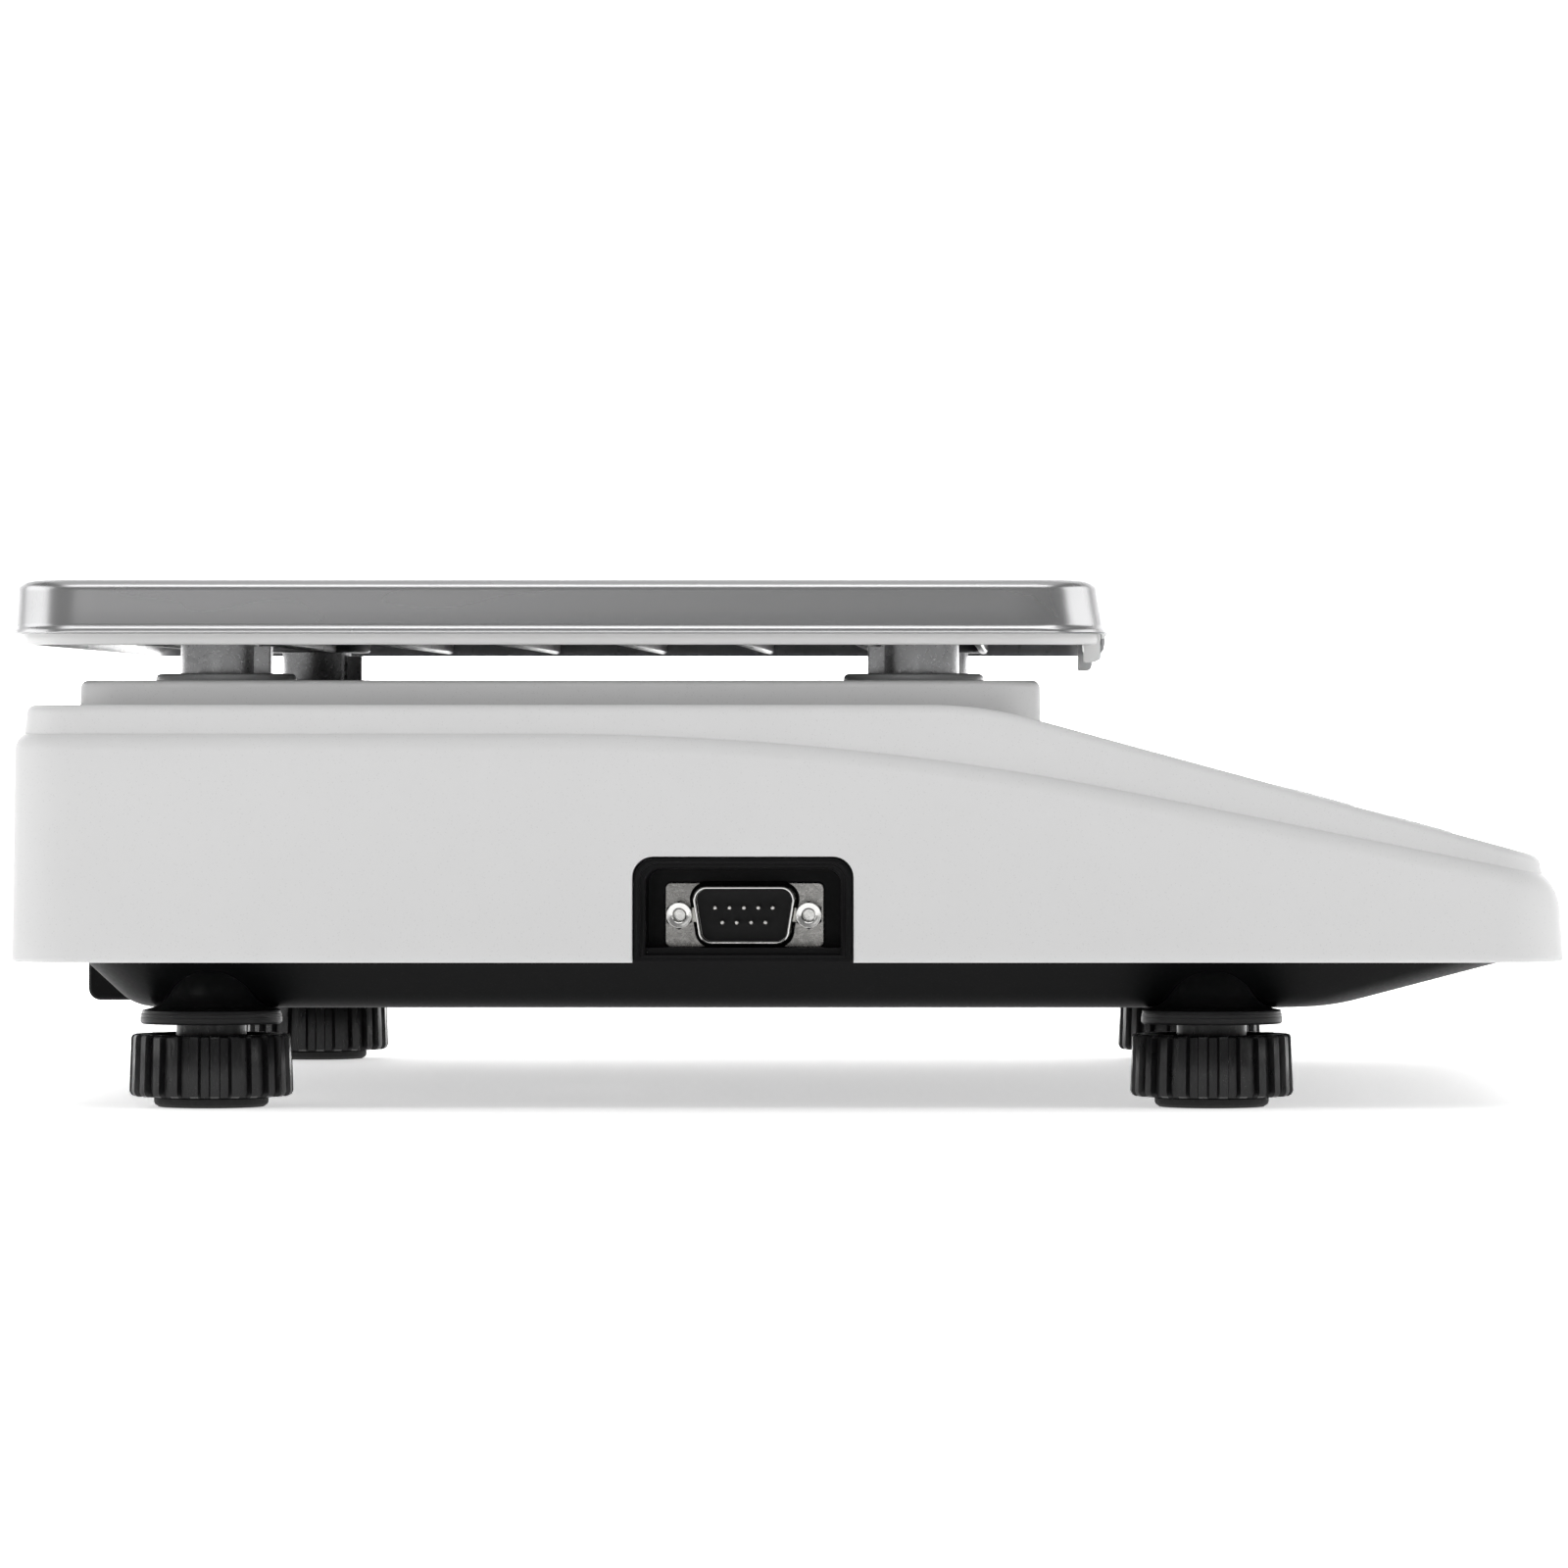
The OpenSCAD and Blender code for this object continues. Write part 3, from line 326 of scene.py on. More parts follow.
def finish(name, colour, rough=0.5, metal=0.0, grain=900.0, stretch=(1, 1, 1), drift=0.06,
           rough_drift=0.08, bump=0.05, depth=0.0002, fleck=0.0, fleck_colour=(0.5, 0.5, 0.5), **sockets):
    """A surface with a drifting colour, a grain in its roughness and bump, and flecks where asked."""
    material = bpy.data.materials.new(name)
    material.use_nodes = True
    material.diffuse_color = (*colour[:3], 1)
    nodes, links = material.node_tree.nodes, material.node_tree.links
    shader = nodes["Principled BSDF"]
    shader.inputs["Metallic"].default_value = metal
    for socket, value in sockets.items():
        shader.inputs[socket.replace("_", " ")].default_value = value
    where = nodes.new("ShaderNodeTexCoord")
    mapping = nodes.new("ShaderNodeMapping")
    mapping.inputs["Scale"].default_value = stretch
    links.new(where.outputs["Object"], mapping.inputs["Vector"])
    fine = nodes.new("ShaderNodeTexNoise")
    fine.inputs["Scale"].default_value = grain
    fine.inputs["Detail"].default_value = 3
    broad = nodes.new("ShaderNodeTexNoise")
    broad.inputs["Scale"].default_value = grain / BROAD
    broad.inputs["Detail"].default_value = 2
    links.new(mapping.outputs["Vector"], fine.inputs["Vector"])
    links.new(mapping.outputs["Vector"], broad.inputs["Vector"])
    tint = nodes.new("ShaderNodeMix")
    tint.data_type = "RGBA"
    colour = np.array(colour[:3], float)
    tint.inputs["A"].default_value = (*(colour * (1 - drift)), 1)
    tint.inputs["B"].default_value = (*np.minimum(colour * (1 + drift), 1), 1)
    links.new(broad.outputs["Fac"], tint.inputs["Factor"])
    last = tint.outputs["Result"]
    if fleck:
        spots = nodes.new("ShaderNodeTexVoronoi")
        spots.inputs["Scale"].default_value = grain * 0.9
        links.new(mapping.outputs["Vector"], spots.inputs["Vector"])
        edge = nodes.new("ShaderNodeMapRange")
        edge.inputs["From Min"].default_value = FLECK_SIZE[0]
        edge.inputs["From Max"].default_value = FLECK_SIZE[1]
        edge.inputs["To Min"].default_value = fleck
        edge.inputs["To Max"].default_value = 0.0
        links.new(spots.outputs["Distance"], edge.inputs["Value"])
        speck = nodes.new("ShaderNodeMix")
        speck.data_type = "RGBA"
        speck.inputs["B"].default_value = (*fleck_colour, 1)
        links.new(edge.outputs["Result"], speck.inputs["Factor"])
        links.new(last, speck.inputs["A"])
        last = speck.outputs["Result"]
    links.new(last, shader.inputs["Base Color"])
    gloss = nodes.new("ShaderNodeMapRange")
    gloss.inputs["To Min"].default_value = max(rough - rough_drift, 0.02)
    gloss.inputs["To Max"].default_value = min(rough + rough_drift, 1)
    links.new(fine.outputs["Fac"], gloss.inputs["Value"])
    links.new(gloss.outputs["Result"], shader.inputs["Roughness"])
    relief = nodes.new("ShaderNodeBump")
    relief.inputs["Strength"].default_value = bump
    relief.inputs["Distance"].default_value = depth
    links.new(fine.outputs["Fac"], relief.inputs["Height"])
    links.new(relief.outputs["Normal"], shader.inputs["Normal"])
    return material


# %% [markdown]
# ## The plastics
# The housing is moulded in a pale grey ABS whose surface was spark-eroded, so it is matt with a very fine
# speckle. The base is the same plastic in black. The knobs are nylon and a little shinier, with the
# scuffs of moulding. The tray inside the pan is a smooth off-white.

# %% Plastics
grey_abs = finish("grey_abs", (0.67, 0.67, 0.67), rough=0.5, grain=1500, drift=0.012, bump=0.12,
                  depth=0.0001, fleck=0.35, fleck_colour=(0.5, 0.5, 0.5))
black_abs = finish("black_abs", (0.003, 0.003, 0.0033), rough=0.42, grain=1400, drift=0.2, bump=0.15,
                   depth=0.0001, fleck=0.2, fleck_colour=(0.02, 0.02, 0.02), Specular_IOR_Level=0.12)
boss_abs = finish("boss_abs", (0.009, 0.009, 0.0095), rough=0.36, grain=500, stretch=(0.15, 0.15, 6),
                  drift=0.2, bump=0.35, depth=0.0001, Specular_IOR_Level=0.25)
knob_nylon = finish("knob_nylon", (0.005, 0.005, 0.0055), rough=0.32, grain=900, stretch=(1, 1, 0.3),
                    drift=0.3, rough_drift=0.16, bump=0.5, depth=0.0002, fleck=0.3,
                    fleck_colour=(0.03, 0.03, 0.03), Specular_IOR_Level=0.45)
# Painted shade: a dark grey for the white tray's well, ribs and sockets, standing for the shadow under the pan.
tray_painted_shade = finish("tray_painted_shade", (0.16, 0.16, 0.165), rough=0.3, grain=700, drift=0.1, bump=0.04)
tray_abs = finish("tray_abs", (0.78, 0.78, 0.775), rough=0.32, grain=700, drift=0.02, bump=0.04)
collar_abs = finish("collar_abs", (0.42, 0.425, 0.43), rough=0.38, grain=1300, drift=0.06, bump=0.1,
                    fleck=0.4, fleck_colour=(0.6, 0.6, 0.6))
switch_pbt = finish("switch_pbt", (0.006, 0.006, 0.0065), rough=0.42, grain=1100, drift=0.15, bump=0.1,
                    Specular_IOR_Level=0.18)
print("plastics:", len(bpy.data.materials))

# %% [markdown]
# ## The metals
# The pan is drawn from stainless sheet that was brushed before drawing, so its grain runs along the sheet
# and down its skirt, stretched out some fifty times. Zinc plate on the connector is mottled with soft clouds,
# and the painted posts carry a fine metallic flake.

# %% Metals
pan_steel = finish("pan_steel", (0.5, 0.5, 0.505), rough=0.27, metal=1.0, grain=420,
                   stretch=(1, 0.02, 0.03), drift=0.035, rough_drift=0.05, bump=0.022, depth=0.00006)
post_paint = finish("post_paint", (0.33, 0.33, 0.335), rough=0.3, metal=0.9, grain=1800, drift=0.06,
                    rough_drift=0.1, bump=0.08, fleck=0.35, fleck_colour=(0.75, 0.75, 0.75))
zinc = finish("zinc", (0.26, 0.255, 0.245), rough=0.26, metal=1.0, grain=1100, drift=0.6, rough_drift=0.2,
              bump=0.3, depth=0.0001)
bright_zinc = finish("bright_zinc", (0.72, 0.715, 0.7), rough=0.16, metal=1.0, grain=900, drift=0.08,
                     rough_drift=0.08, bump=0.06)
turned_brass = finish("turned_brass", (0.78, 0.58, 0.27), rough=0.24, metal=1.0, grain=600,
                      stretch=(1, 1, 8), drift=0.1, bump=0.08)
plated_frame = finish("plated_frame", (0.46, 0.46, 0.47), rough=0.38, metal=1.0, grain=300, drift=0.15,
                      bump=0.1)
milled_aluminium = finish("milled_aluminium", (0.78, 0.79, 0.8), rough=0.3, metal=1.0, grain=500,
                          stretch=(0.05, 1, 1), drift=0.06, bump=0.12)
print("metals:", len((pan_steel, post_paint, zinc, bright_zinc, turned_brass, plated_frame, milled_aluminium)))

# %% [markdown]
# ## Finishes of the inner parts and the panel
# Nobody sees the inside until the scale is opened, but its parts still have a finish of their own: green
# solder mask, a moulded battery case, varnished iron, and insulated wire.

# %% Inner parts, panel and rubber
battery_abs = finish("battery_abs", (0.035, 0.037, 0.045), rough=0.45, grain=900, drift=0.1, bump=0.1)
varnished_iron = finish("varnished_iron", (0.16, 0.12, 0.08), rough=0.4, grain=500, stretch=(0.05, 1, 1),
                        drift=0.35, bump=0.4, depth=0.0003)
solder_mask = finish("solder_mask", (0.03, 0.17, 0.06), rough=0.3, grain=350, drift=0.3, bump=0.1)
wire_pvc = finish("wire_pvc", (0.32, 0.27, 0.22), rough=0.4, grain=400, drift=0.2, bump=0.05)
foot_rubber = finish("foot_rubber", (0.016, 0.016, 0.016), rough=0.75, grain=900, drift=0.2, bump=0.4,
                     depth=0.0002)
key_silicone = finish("key_silicone", (0.62, 0.64, 0.66), rough=0.48, grain=1200, drift=0.02, bump=0.1)
accent_key = finish("accent_key", (0.16, 0.22, 0.32), rough=0.46, grain=1200, drift=0.04, bump=0.1)
overlay_print = finish("overlay_print", (0.4, 0.42, 0.45), rough=0.36, grain=2200, drift=0.05, bump=0.15,
                       depth=0.00005)
lcd_film = finish("lcd_film", (0.36, 0.42, 0.31), rough=0.3, grain=1500, drift=0.03, bump=0.02)
lcd_ink = finish("lcd_ink", (0.02, 0.025, 0.03), rough=0.4, grain=900, drift=0.1, bump=0.02)
dark_ink = finish("dark_ink", (0.02, 0.022, 0.03), rough=0.5, grain=900, drift=0.05, bump=0.02)
clear_acrylic = finish("clear_acrylic", (0.93, 0.95, 0.95), rough=0.05, grain=300, drift=0.01,
                       rough_drift=0.02, bump=0.01, Transmission_Weight=1.0, IOR=1.49)
vial_liquid = finish("vial_liquid", (0.62, 0.85, 0.12), rough=0.06, grain=300, drift=0.02,
                     rough_drift=0.02, bump=0.01, Transmission_Weight=0.6, IOR=1.36)
print("finishes:", len(bpy.data.materials))

# %% [markdown]
# ## The lines of the housing
# Seen from the side the housing has three lines. The deck is level and then falls at 15 degrees, with a
# wide bend between. The shoulder is level behind and sinks in one long arc into a straight fall to the
# front. The foot of the upper wall runs just above the shoulder. Each is a function of Y.


# %% Deck and shoulder lines
def falling_line(y, top, corner, angle, bend):
    """Level at top, then down towards -Y at an angle, with an arc of radius bend about the corner."""
    start = corner + bend * math.tan(angle / 2)
    end = start - bend * math.sin(angle)
    inside = np.clip(bend ** 2 - (np.minimum(y, start) - start) ** 2, 0, None)
    arc = top - bend + np.sqrt(inside)
    straight = top - math.tan(angle) * (corner - y)
    return np.where(y >= start, top, np.where(y <= end, straight, arc))


def ease(t):
    """Rises smoothly from 0 to 1: three times t squared, less twice t cubed."""
    t = np.clip(t, 0, 1)
    return t * t * (3 - 2 * t)


def deck(y):
    """Height of the deck and the slope at Y."""
    return falling_line(y, deck_z, slope_y, slope_angle, 75)


def shoulder(y):
    """Height of the shoulder's line at Y."""
    return falling_line(y, deck_z - 7.6, slope_y + 27.5, math.radians(11.3), 586)


def shoulder_low(y):
    """Where the lower wall starts to round over; it dips at the nose."""
    return shoulder(y) - 1.3 - 3.7 * ease((front_y + 13 - y) / 12)


def shoulder_top(y):
    """The foot of the upper wall."""
    return shoulder(y) + 2.0


print("deck falls to", round(float(deck(np.array(front_y))), 1), "mm at the front")

# %% [markdown]
# ## The top housing
# The wall is a stack of rounded rectangles. It starts at the inner ceiling, comes down inside, turns
# round the lower edge, climbs outside with a slight draft, rounds over the shoulder, steps in, climbs
# again and rounds into the deck. Rows are closer together where the deck bends.

# %% Top housing: the shell
DRAFT = 0.55
LEDGE = (2.4, 4.0, 2.4)
UPPER_DRAFT = 0.45
EDGE = 1.7
WALL = 3.0
CORNER = 12.0
LOWER_EDGE = 0.8
SHOULDER_TURN = math.radians(62)
rows = np.unique(np.concatenate([np.linspace(0.02, 0.98, 40), np.linspace(0.3, 0.42, 14)]))


def housing_level(side, front, back, z):
    """One level of the housing, set in from its sides, front and back."""
    radius = max(CORNER - side, 3.0)
    return half_w - side, front_y + front, back_y - back, radius, z


def drop(line, by):
    """A line moved down by a distance."""
    return lambda y: line(y) - by


def between(low, high, share):
    """A line that lies a share of the way from one line up to another."""
    return lambda y: low(y) + (high(y) - low(y)) * share


def skirt_edge(y):
    """Top of the rounding at the housing's lower edge."""
    return skirt_z + LOWER_EDGE


ledge = np.array(LEDGE)
inner = [housing_level(*(ledge + WALL), drop(line, WALL)) for line in (deck, shoulder_top)]
inner += [housing_level(WALL, WALL, WALL, drop(shoulder_low, WALL)), housing_level(WALL, WALL, WALL, skirt_z + 1)]
lower_edge = [housing_level(*[LOWER_EDGE * (1 - s)] * 3, skirt_z + LOWER_EDGE * (1 - c)) for s, c in quarter(4)]
lower_wall = [housing_level(*[DRAFT * t] * 3, between(skirt_edge, shoulder_low, t))
              for t in np.linspace(0.1, 1, 6)]
round_over = []
for turn in np.linspace(0, SHOULDER_TURN, 9)[1:]:
    inward = (1 - math.cos(turn)) / (1 - math.cos(SHOULDER_TURN))
    upward = math.sin(turn) / math.sin(SHOULDER_TURN)
    come_in = DRAFT + (ledge - DRAFT) * inward
    round_over.append(housing_level(*come_in, between(shoulder_low, shoulder_top, upward)))
upper_wall = [housing_level(*(ledge + UPPER_DRAFT * t), between(shoulder_top, drop(deck, EDGE), t))
              for t in (0.04, 0.35, 0.7, 1.0)]
deck_edge = [housing_level(*(ledge + UPPER_DRAFT + EDGE * (1 - c)), drop(deck, EDGE * (1 - s)))
             for s, c in quarter(6)[1:]]
housing_levels = inner + lower_edge + lower_wall + round_over + upper_wall + deck_edge
housing_shell = dish("housing_shell", housing_levels, rows)
print("housing shell:", len(housing_shell.polygons), "faces")

# %% [markdown]
# ## Openings in the housing
# A cutter is a loft too. Its outline grows a little where it leaves the wall, so the edge that it cuts is
# rounded, as a moulded edge is. The keys, display and level sit in a shallow recess on the slope, so
# `on_slope` turns points from the slope's own frame into the housing's.

# %% The slope's own frame
panel_y = slope_y - SLOPE_RUN / 2 - 1.5
panel_z = deck_z - math.tan(slope_angle) * (slope_y - panel_y)
KEY_PITCH, ROW_PITCH, KEY_V = 34.0, 20.0, -9.0
DISPLAY_V, DISPLAY_PITCH, LENS_X, LENS_HALF = 18.0, 80, -15.0, (118.0, 13.0)
KEY_HALF, KEY_GAP, VIAL_X, VIAL_R = (13.5, 6.5), 0.3, 126.0, 6.8
display_centres = [(LENS_X + i * DISPLAY_PITCH, DISPLAY_V) for i in (-1, 0, 1)]
vial_centre = (VIAL_X, DISPLAY_V)
key_places = [((i % 8 - 3.5) * KEY_PITCH, KEY_V - (i // 8) * ROW_PITCH) for i in range(16)]


def on_slope(points):
    """Points given across, up and out of the slope, turned by its angle about X into the housing's frame."""
    points = np.asarray(points, float)
    across, up, out = points[..., 0], points[..., 1], points[..., 2]
    c, s = math.cos(slope_angle), math.sin(slope_angle)
    return np.stack([across, panel_y + up * c - out * s, panel_z + up * s + out * c], axis=-1)


def stack(outline, stations, centre=(0, 0)):
    """Rings of an outline function at (growth, height) stations."""
    return np.array([at_height(outline(grow) + np.asarray(centre), z) for grow, z in stations])


def slope_cutter(half_x, half_y, radius, centre, floor, flare=0.35, top=4.0):
    """A cutter for a window on the slope: a rounded rectangle that grows by a quarter circle at its mouth."""
    stations = [(0, floor), (0, -flare)]
    stations += [(flare * (1 - c), -flare * (1 - s)) for s, c in quarter(3)[1:]]
    stations += [(flare, top)]
    return on_slope(stack(lambda g: rounded(half_x + g, half_y + g, radius + g, 6), stations, centre))


# %% [markdown]
# The other cutters are the arched port in the left side, the mouth of the rear bay, a hole around each
# post, and the windows for the keys, the displays and the level. Each takes its place from the frame.

# %% Cutters for the housing
PANEL_HALF = (146.0, 40.0)
PANEL_V = -4.0
PANEL_T = 1.0
port_y, port_z = back_y - 141.7, skirt_z + 9
PORT_HALF, PORT_TOP, PORT_R = 21.25, 20.4, 4.0


def port_outline(shrink, z0):
    """The arch of the port in Y and Z: a flat foot, straight sides and a quarter circle in each top corner."""
    radius = PORT_R - shrink / 2
    half, top = PORT_HALF - shrink, skirt_z + PORT_TOP - shrink
    a = np.linspace(0, np.pi / 2, 9)
    right = np.column_stack([half - radius + radius * np.cos(a), top - radius + radius * np.sin(a)])
    left = np.column_stack([-right[::-1, 0], right[::-1, 1]])
    outline = np.concatenate([[[half, z0]], right, left, [[-half, z0]]])
    return outline + np.array([port_y, 0])


def along_x(outline, x):
    """An outline in Y and Z, at a distance along X."""
    return np.column_stack([np.full(len(outline), x), outline])


EDGE_ROUND = 0.5
mouth = [(-EDGE_ROUND * (1 - c), -half_w + EDGE_ROUND * (1 - s)) for s, c in quarter(4)]
below = skirt_z - 3
port_stations = [(-EDGE_ROUND, -half_w - 2), *mouth[::-1], (0, -half_w + 8)]
port_cutter = loft("port_cutter", [along_x(port_outline(grow, below), x) for grow, x in port_stations])
post_x = half_w - 38
post_ys = (back_y - 39.2, slope_y + 13.5)
POST_D, POST_RIB, COLLAR_GAP = 15.2, 2.6, 1.3
COLLAR_BORE = (POST_D + POST_RIB) / 2 + COLLAR_GAP
BAY_HALF, BAY_FLOOR, BAY_TOP = 62.5, 21.3, 57.5
bay_corners = ((1, below), (1, BAY_TOP), (-1, BAY_TOP), (-1, below))
bay_rings = [[(sx * BAY_HALF, y, z) for sx, z in bay_corners] for y in (back_y + 3, back_y - 6.5)]
hole_r, through = COLLAR_BORE + 0.8, -WALL - 2
post_holes = [lathe("post_hole", [(hole_r, deck_z - 6), (hole_r, plinth_z + 2)], 40, (sx * post_x, y))
              for sx in (-1, 1) for y in post_ys]
windows = [loft("window", slope_cutter(13.8, 6.8, 2.2, centre, through, 0.25)) for centre in key_places]
windows += [loft("window", slope_cutter(37, 9.5, 1, centre, through, 0.1)) for centre in display_centres]
windows.append(loft("window", on_slope(stack(lambda g: disc(VIAL_R + KEY_GAP + g, 40),
                                             [(0, through), (0, 4)], vial_centre))))
recess = loft("recess", slope_cutter(PANEL_HALF[0], PANEL_HALF[1], 4, (0, PANEL_V), -PANEL_T))
print("cutters ready:", len(windows), "windows")

# %% [markdown]
# The plinth under the pan is part of the same moulding: a raised slab with a rounded upper edge, hollow
# below. It is joined on first, then everything is cut. Exact booleans keep the curved walls as they are.

# %% Plinth, and the finished housing
PLINTH_INSET, PLINTH_R, PLINTH_FRONT, PLINTH_BACK = 20.0, 9.0, 11.5, 11.4


def plinth_ring(inset, z):
    """The plinth's outline, a rounded rectangle, come in by an inset, at a height."""
    half = half_w - PLINTH_INSET - inset
    y0, y1 = slope_y - PLINTH_FRONT + inset, back_y - PLINTH_BACK - inset
    ring = rounded(half, (y1 - y0) / 2, PLINTH_R - inset, 10) + np.array([0, (y0 + y1) / 2])
    return at_height(ring, z)


PLINTH_EDGE = 1.6
plinth = loft("plinth", [plinth_ring(0, deck_z - 4.5), plinth_ring(0.12, plinth_z - PLINTH_EDGE)]
              + [plinth_ring(0.12 + PLINTH_EDGE * (1 - c), plinth_z - PLINTH_EDGE * (1 - s))
                 for s, c in quarter(6)[1:]])
plinth_hollow = loft("plinth_hollow", [plinth_ring(WALL, deck_z - 6), plinth_ring(WALL, plinth_z - WALL)])
housing_mesh = cut(housing_shell, plinth, how="UNION")
housing_mesh = cut(housing_mesh, plinth_hollow, port_cutter, loft("bay_cutter", bay_rings), recess)
housing_mesh = cut(housing_mesh, joined("holes", post_holes + windows))
place("housing_skin", housing_mesh, "chassis", grey_abs, ["top_housing"])
print("housing:", len(housing_mesh.polygons), "faces")

# %% [markdown]
# ## The base tub
# The base is a black tub below the housing. Its sides and back lean in at 45 degrees, its front rises at
# 15 degrees, and the lean rounds into the floor. Each level knows how far each side has come in, and
# levels are closer together near the floor, where the rounding is.

# %% Base tub
TUB_SIDE, TUB_FRONT, TUB_BACK, TUB_R = 20.6, 7.6, 11.4, 13
TUB_DROP = rim_z - base_z
SIDE_LEAN, FRONT_LEAN = math.radians(45), math.radians(15)
SIDE_BEND, FRONT_BEND = 9.0, 42.0


def lean_in(z, lean, bend):
    """How far a leaning wall has come in at a height: a straight lean, then an arc into the floor."""
    above = z - base_z
    reach = TUB_DROP / math.tan(lean) + bend * math.tan(lean / 2)
    if above < bend * (1 - math.cos(lean)):
        return reach - bend * math.sin(math.acos(1 - above / bend))
    return (TUB_DROP - above) / math.tan(lean)


def tub_level(z, thick=0.0):
    """A level of the tub: its mouth's outline, come in by each wall's lean, and by a thickness if inside."""
    side = lean_in(z, SIDE_LEAN, SIDE_BEND)
    front = lean_in(z, FRONT_LEAN, FRONT_BEND)
    return (half_w - TUB_SIDE - side - thick, front_y + TUB_FRONT + front + 3.7 * thick,
            back_y - TUB_BACK - side - thick, TUB_R - 0.3 * side, z + thick)


RIM_INSET, RIM_T, BASE_WALL = 3.4, 2.5, 2.5
near_floor = base_z + 3 * np.linspace(0.85, 0, 9) ** 2
tub_heights = np.concatenate([np.linspace(rim_z - 0.3, base_z + 3, 8), near_floor])
rim_outer = [(half_w - RIM_INSET, front_y + RIM_INSET, back_y - RIM_INSET, CORNER - RIM_INSET, z)
             for z in (rim_z + RIM_T, rim_z)]
rim_inner = [(half_w - TUB_SIDE - 4, front_y + TUB_FRONT + 6, back_y - TUB_BACK - 4, 9, rim_z + RIM_T)]
tub_mouth = [(half_w - TUB_SIDE, front_y + TUB_FRONT, back_y - TUB_BACK, TUB_R, rim_z)]
tub_inside = [tub_level(z, BASE_WALL) for z in (base_z, base_z + 1, base_z + 4, rim_z - 2.5)]
tub_outside = [tub_level(z) for z in tub_heights]
base_stops = np.linspace(0.03, 0.97, 24)
tub_mesh = dish("tub", tub_inside + rim_inner + rim_outer + tub_mouth + tub_outside, base_stops)
print("tub:", len(tub_mesh.polygons), "faces")

# %% [markdown]
# ## Foot bosses
# Each foot screws into a boss shaped like a trumpet: a wide ring at the mouth, a sweep inwards, and a
# stem that dies into the leaning side of the tub. It is turned, so it is a profile carried round an axis.
# The small steps near the mouth are the moulding's own parting lines.

# %% Foot bosses
foot_x = half_w - 28.5
foot_ys = (back_y - 37.1, front_y + 67.7)
ring_z, RING_R, BORE_R = base_z - 2.9, 13.8, 7.2
dome = [(13.45, 2.65), (12.4, 2.85), (11.4, 3.15), (10.4, 3.55), (9.6, 4.1), (8.9, 4.7), (8.3, 5.4),
        (7.9, 6.1), (7.55, 6.9), (7.1, 7.7), (6.6, 8.5), (6.15, 9.3), (5.6, 10.1), (4.8, 10.8),
        (3.8, 11.3), (2.4, 11.6), (0, 11.7)]
socket = [(0, 9), (5.6, 9), (5.6, 6.4), (BORE_R, 6.4), (BORE_R, 0.3), (BORE_R + 0.3, 0)]
mouth_ring = [(RING_R - 0.35, 0), (RING_R, 0.35), (RING_R, 1.3), (RING_R - 0.12, 1.35),
              (RING_R - 0.12, 1.95), (RING_R - 0.28, 2.0), (RING_R - 0.28, 2.5)]
boss_profile = [(r, ring_z + rise) for r, rise in socket + mouth_ring + dome]
feet = {"rear_left": (-foot_x, foot_ys[0]), "rear_right": (foot_x, foot_ys[0]),
        "front_left": (-foot_x, foot_ys[1]), "front_right": (foot_x, foot_ys[1])}
bosses = [lathe("boss", boss_profile, 64, centre, (False, False)) for centre in feet.values()]
print("bosses:", len(bosses))

# %% [markdown]
# ## Port pocket and rear bay
# Behind the notch in the housing's side the base has a pocket for the serial port: a frame with a step
# in its front edge, then straight walls to the connector's plate. The rear bay is a wider pocket that
# faces backwards and holds the mains inlet and the switch. Both are lofts that go forward outside, turn
# over the front edge, and come back inside.

# %% Pocket and bay
port_back_x = -half_w + 12
POCKET_FRONT = -half_w + 0.35
# Each station: how far the arch has shrunk, how far behind the front edge it lies, and its foot's rise
pocket_stations = [(0.25, port_back_x + 3 - POCKET_FRONT, 0), (0.25, 0.5, 0), (0.4, 0.12, 0), (0.65, 0, 0),
                   (1.15, 0, 0.5), (1.35, 0.12, 0.7), (1.4, 0.9, 0.7), (1.55, 1.05, 0.9), (2.1, 1.1, 1.0),
                   (2.4, 1.4, 1.2), (2.65, port_back_x - POCKET_FRONT, 1.2)]
pocket = loft("pocket", [along_x(port_outline(shrink, rim_z + rise), POCKET_FRONT + behind)
                         for shrink, behind, rise in pocket_stations])
bay_back, bay_front = back_y - 6.3, back_y - 14.5
BAY_WALL, BAY_ROUND = 2.5, 2.4
BAY_OUTER = BAY_HALF + BAY_WALL


def bay_section(x, shrink=0.0):
    """Section of the bay's block in Y and Z: a rectangle whose lower back corner is a quarter circle."""
    a = np.linspace(-np.pi / 2, 0, 9)
    round_y = bay_back - BAY_ROUND + (BAY_ROUND - shrink) * np.cos(a)
    round_z = BAY_FLOOR - BAY_WALL + BAY_ROUND + (BAY_ROUND - shrink) * np.sin(a)
    low, high = BAY_FLOOR - BAY_WALL + shrink, BAY_TOP + BAY_WALL - shrink
    ring = [(bay_front - BAY_WALL + shrink, low), *zip(round_y, round_z), (bay_back - shrink, high),
            (bay_front - BAY_WALL + shrink, high)]
    return along_x(np.array(ring), x)


def along_y(outline, y):
    """An outline in X and Z, at a distance along Y."""
    return np.column_stack([outline[:, 0], np.full(len(outline), y), outline[:, 1]])


def bay_mouth(shrink):
    """Outline of the bay's opening in X and Z: a rounded rectangle, come in by a distance."""
    half_h, middle = (BAY_TOP - BAY_FLOOR) / 2, (BAY_TOP + BAY_FLOOR) / 2
    return rounded(BAY_HALF - shrink, half_h - shrink, 1.2, 6) + [0, middle]


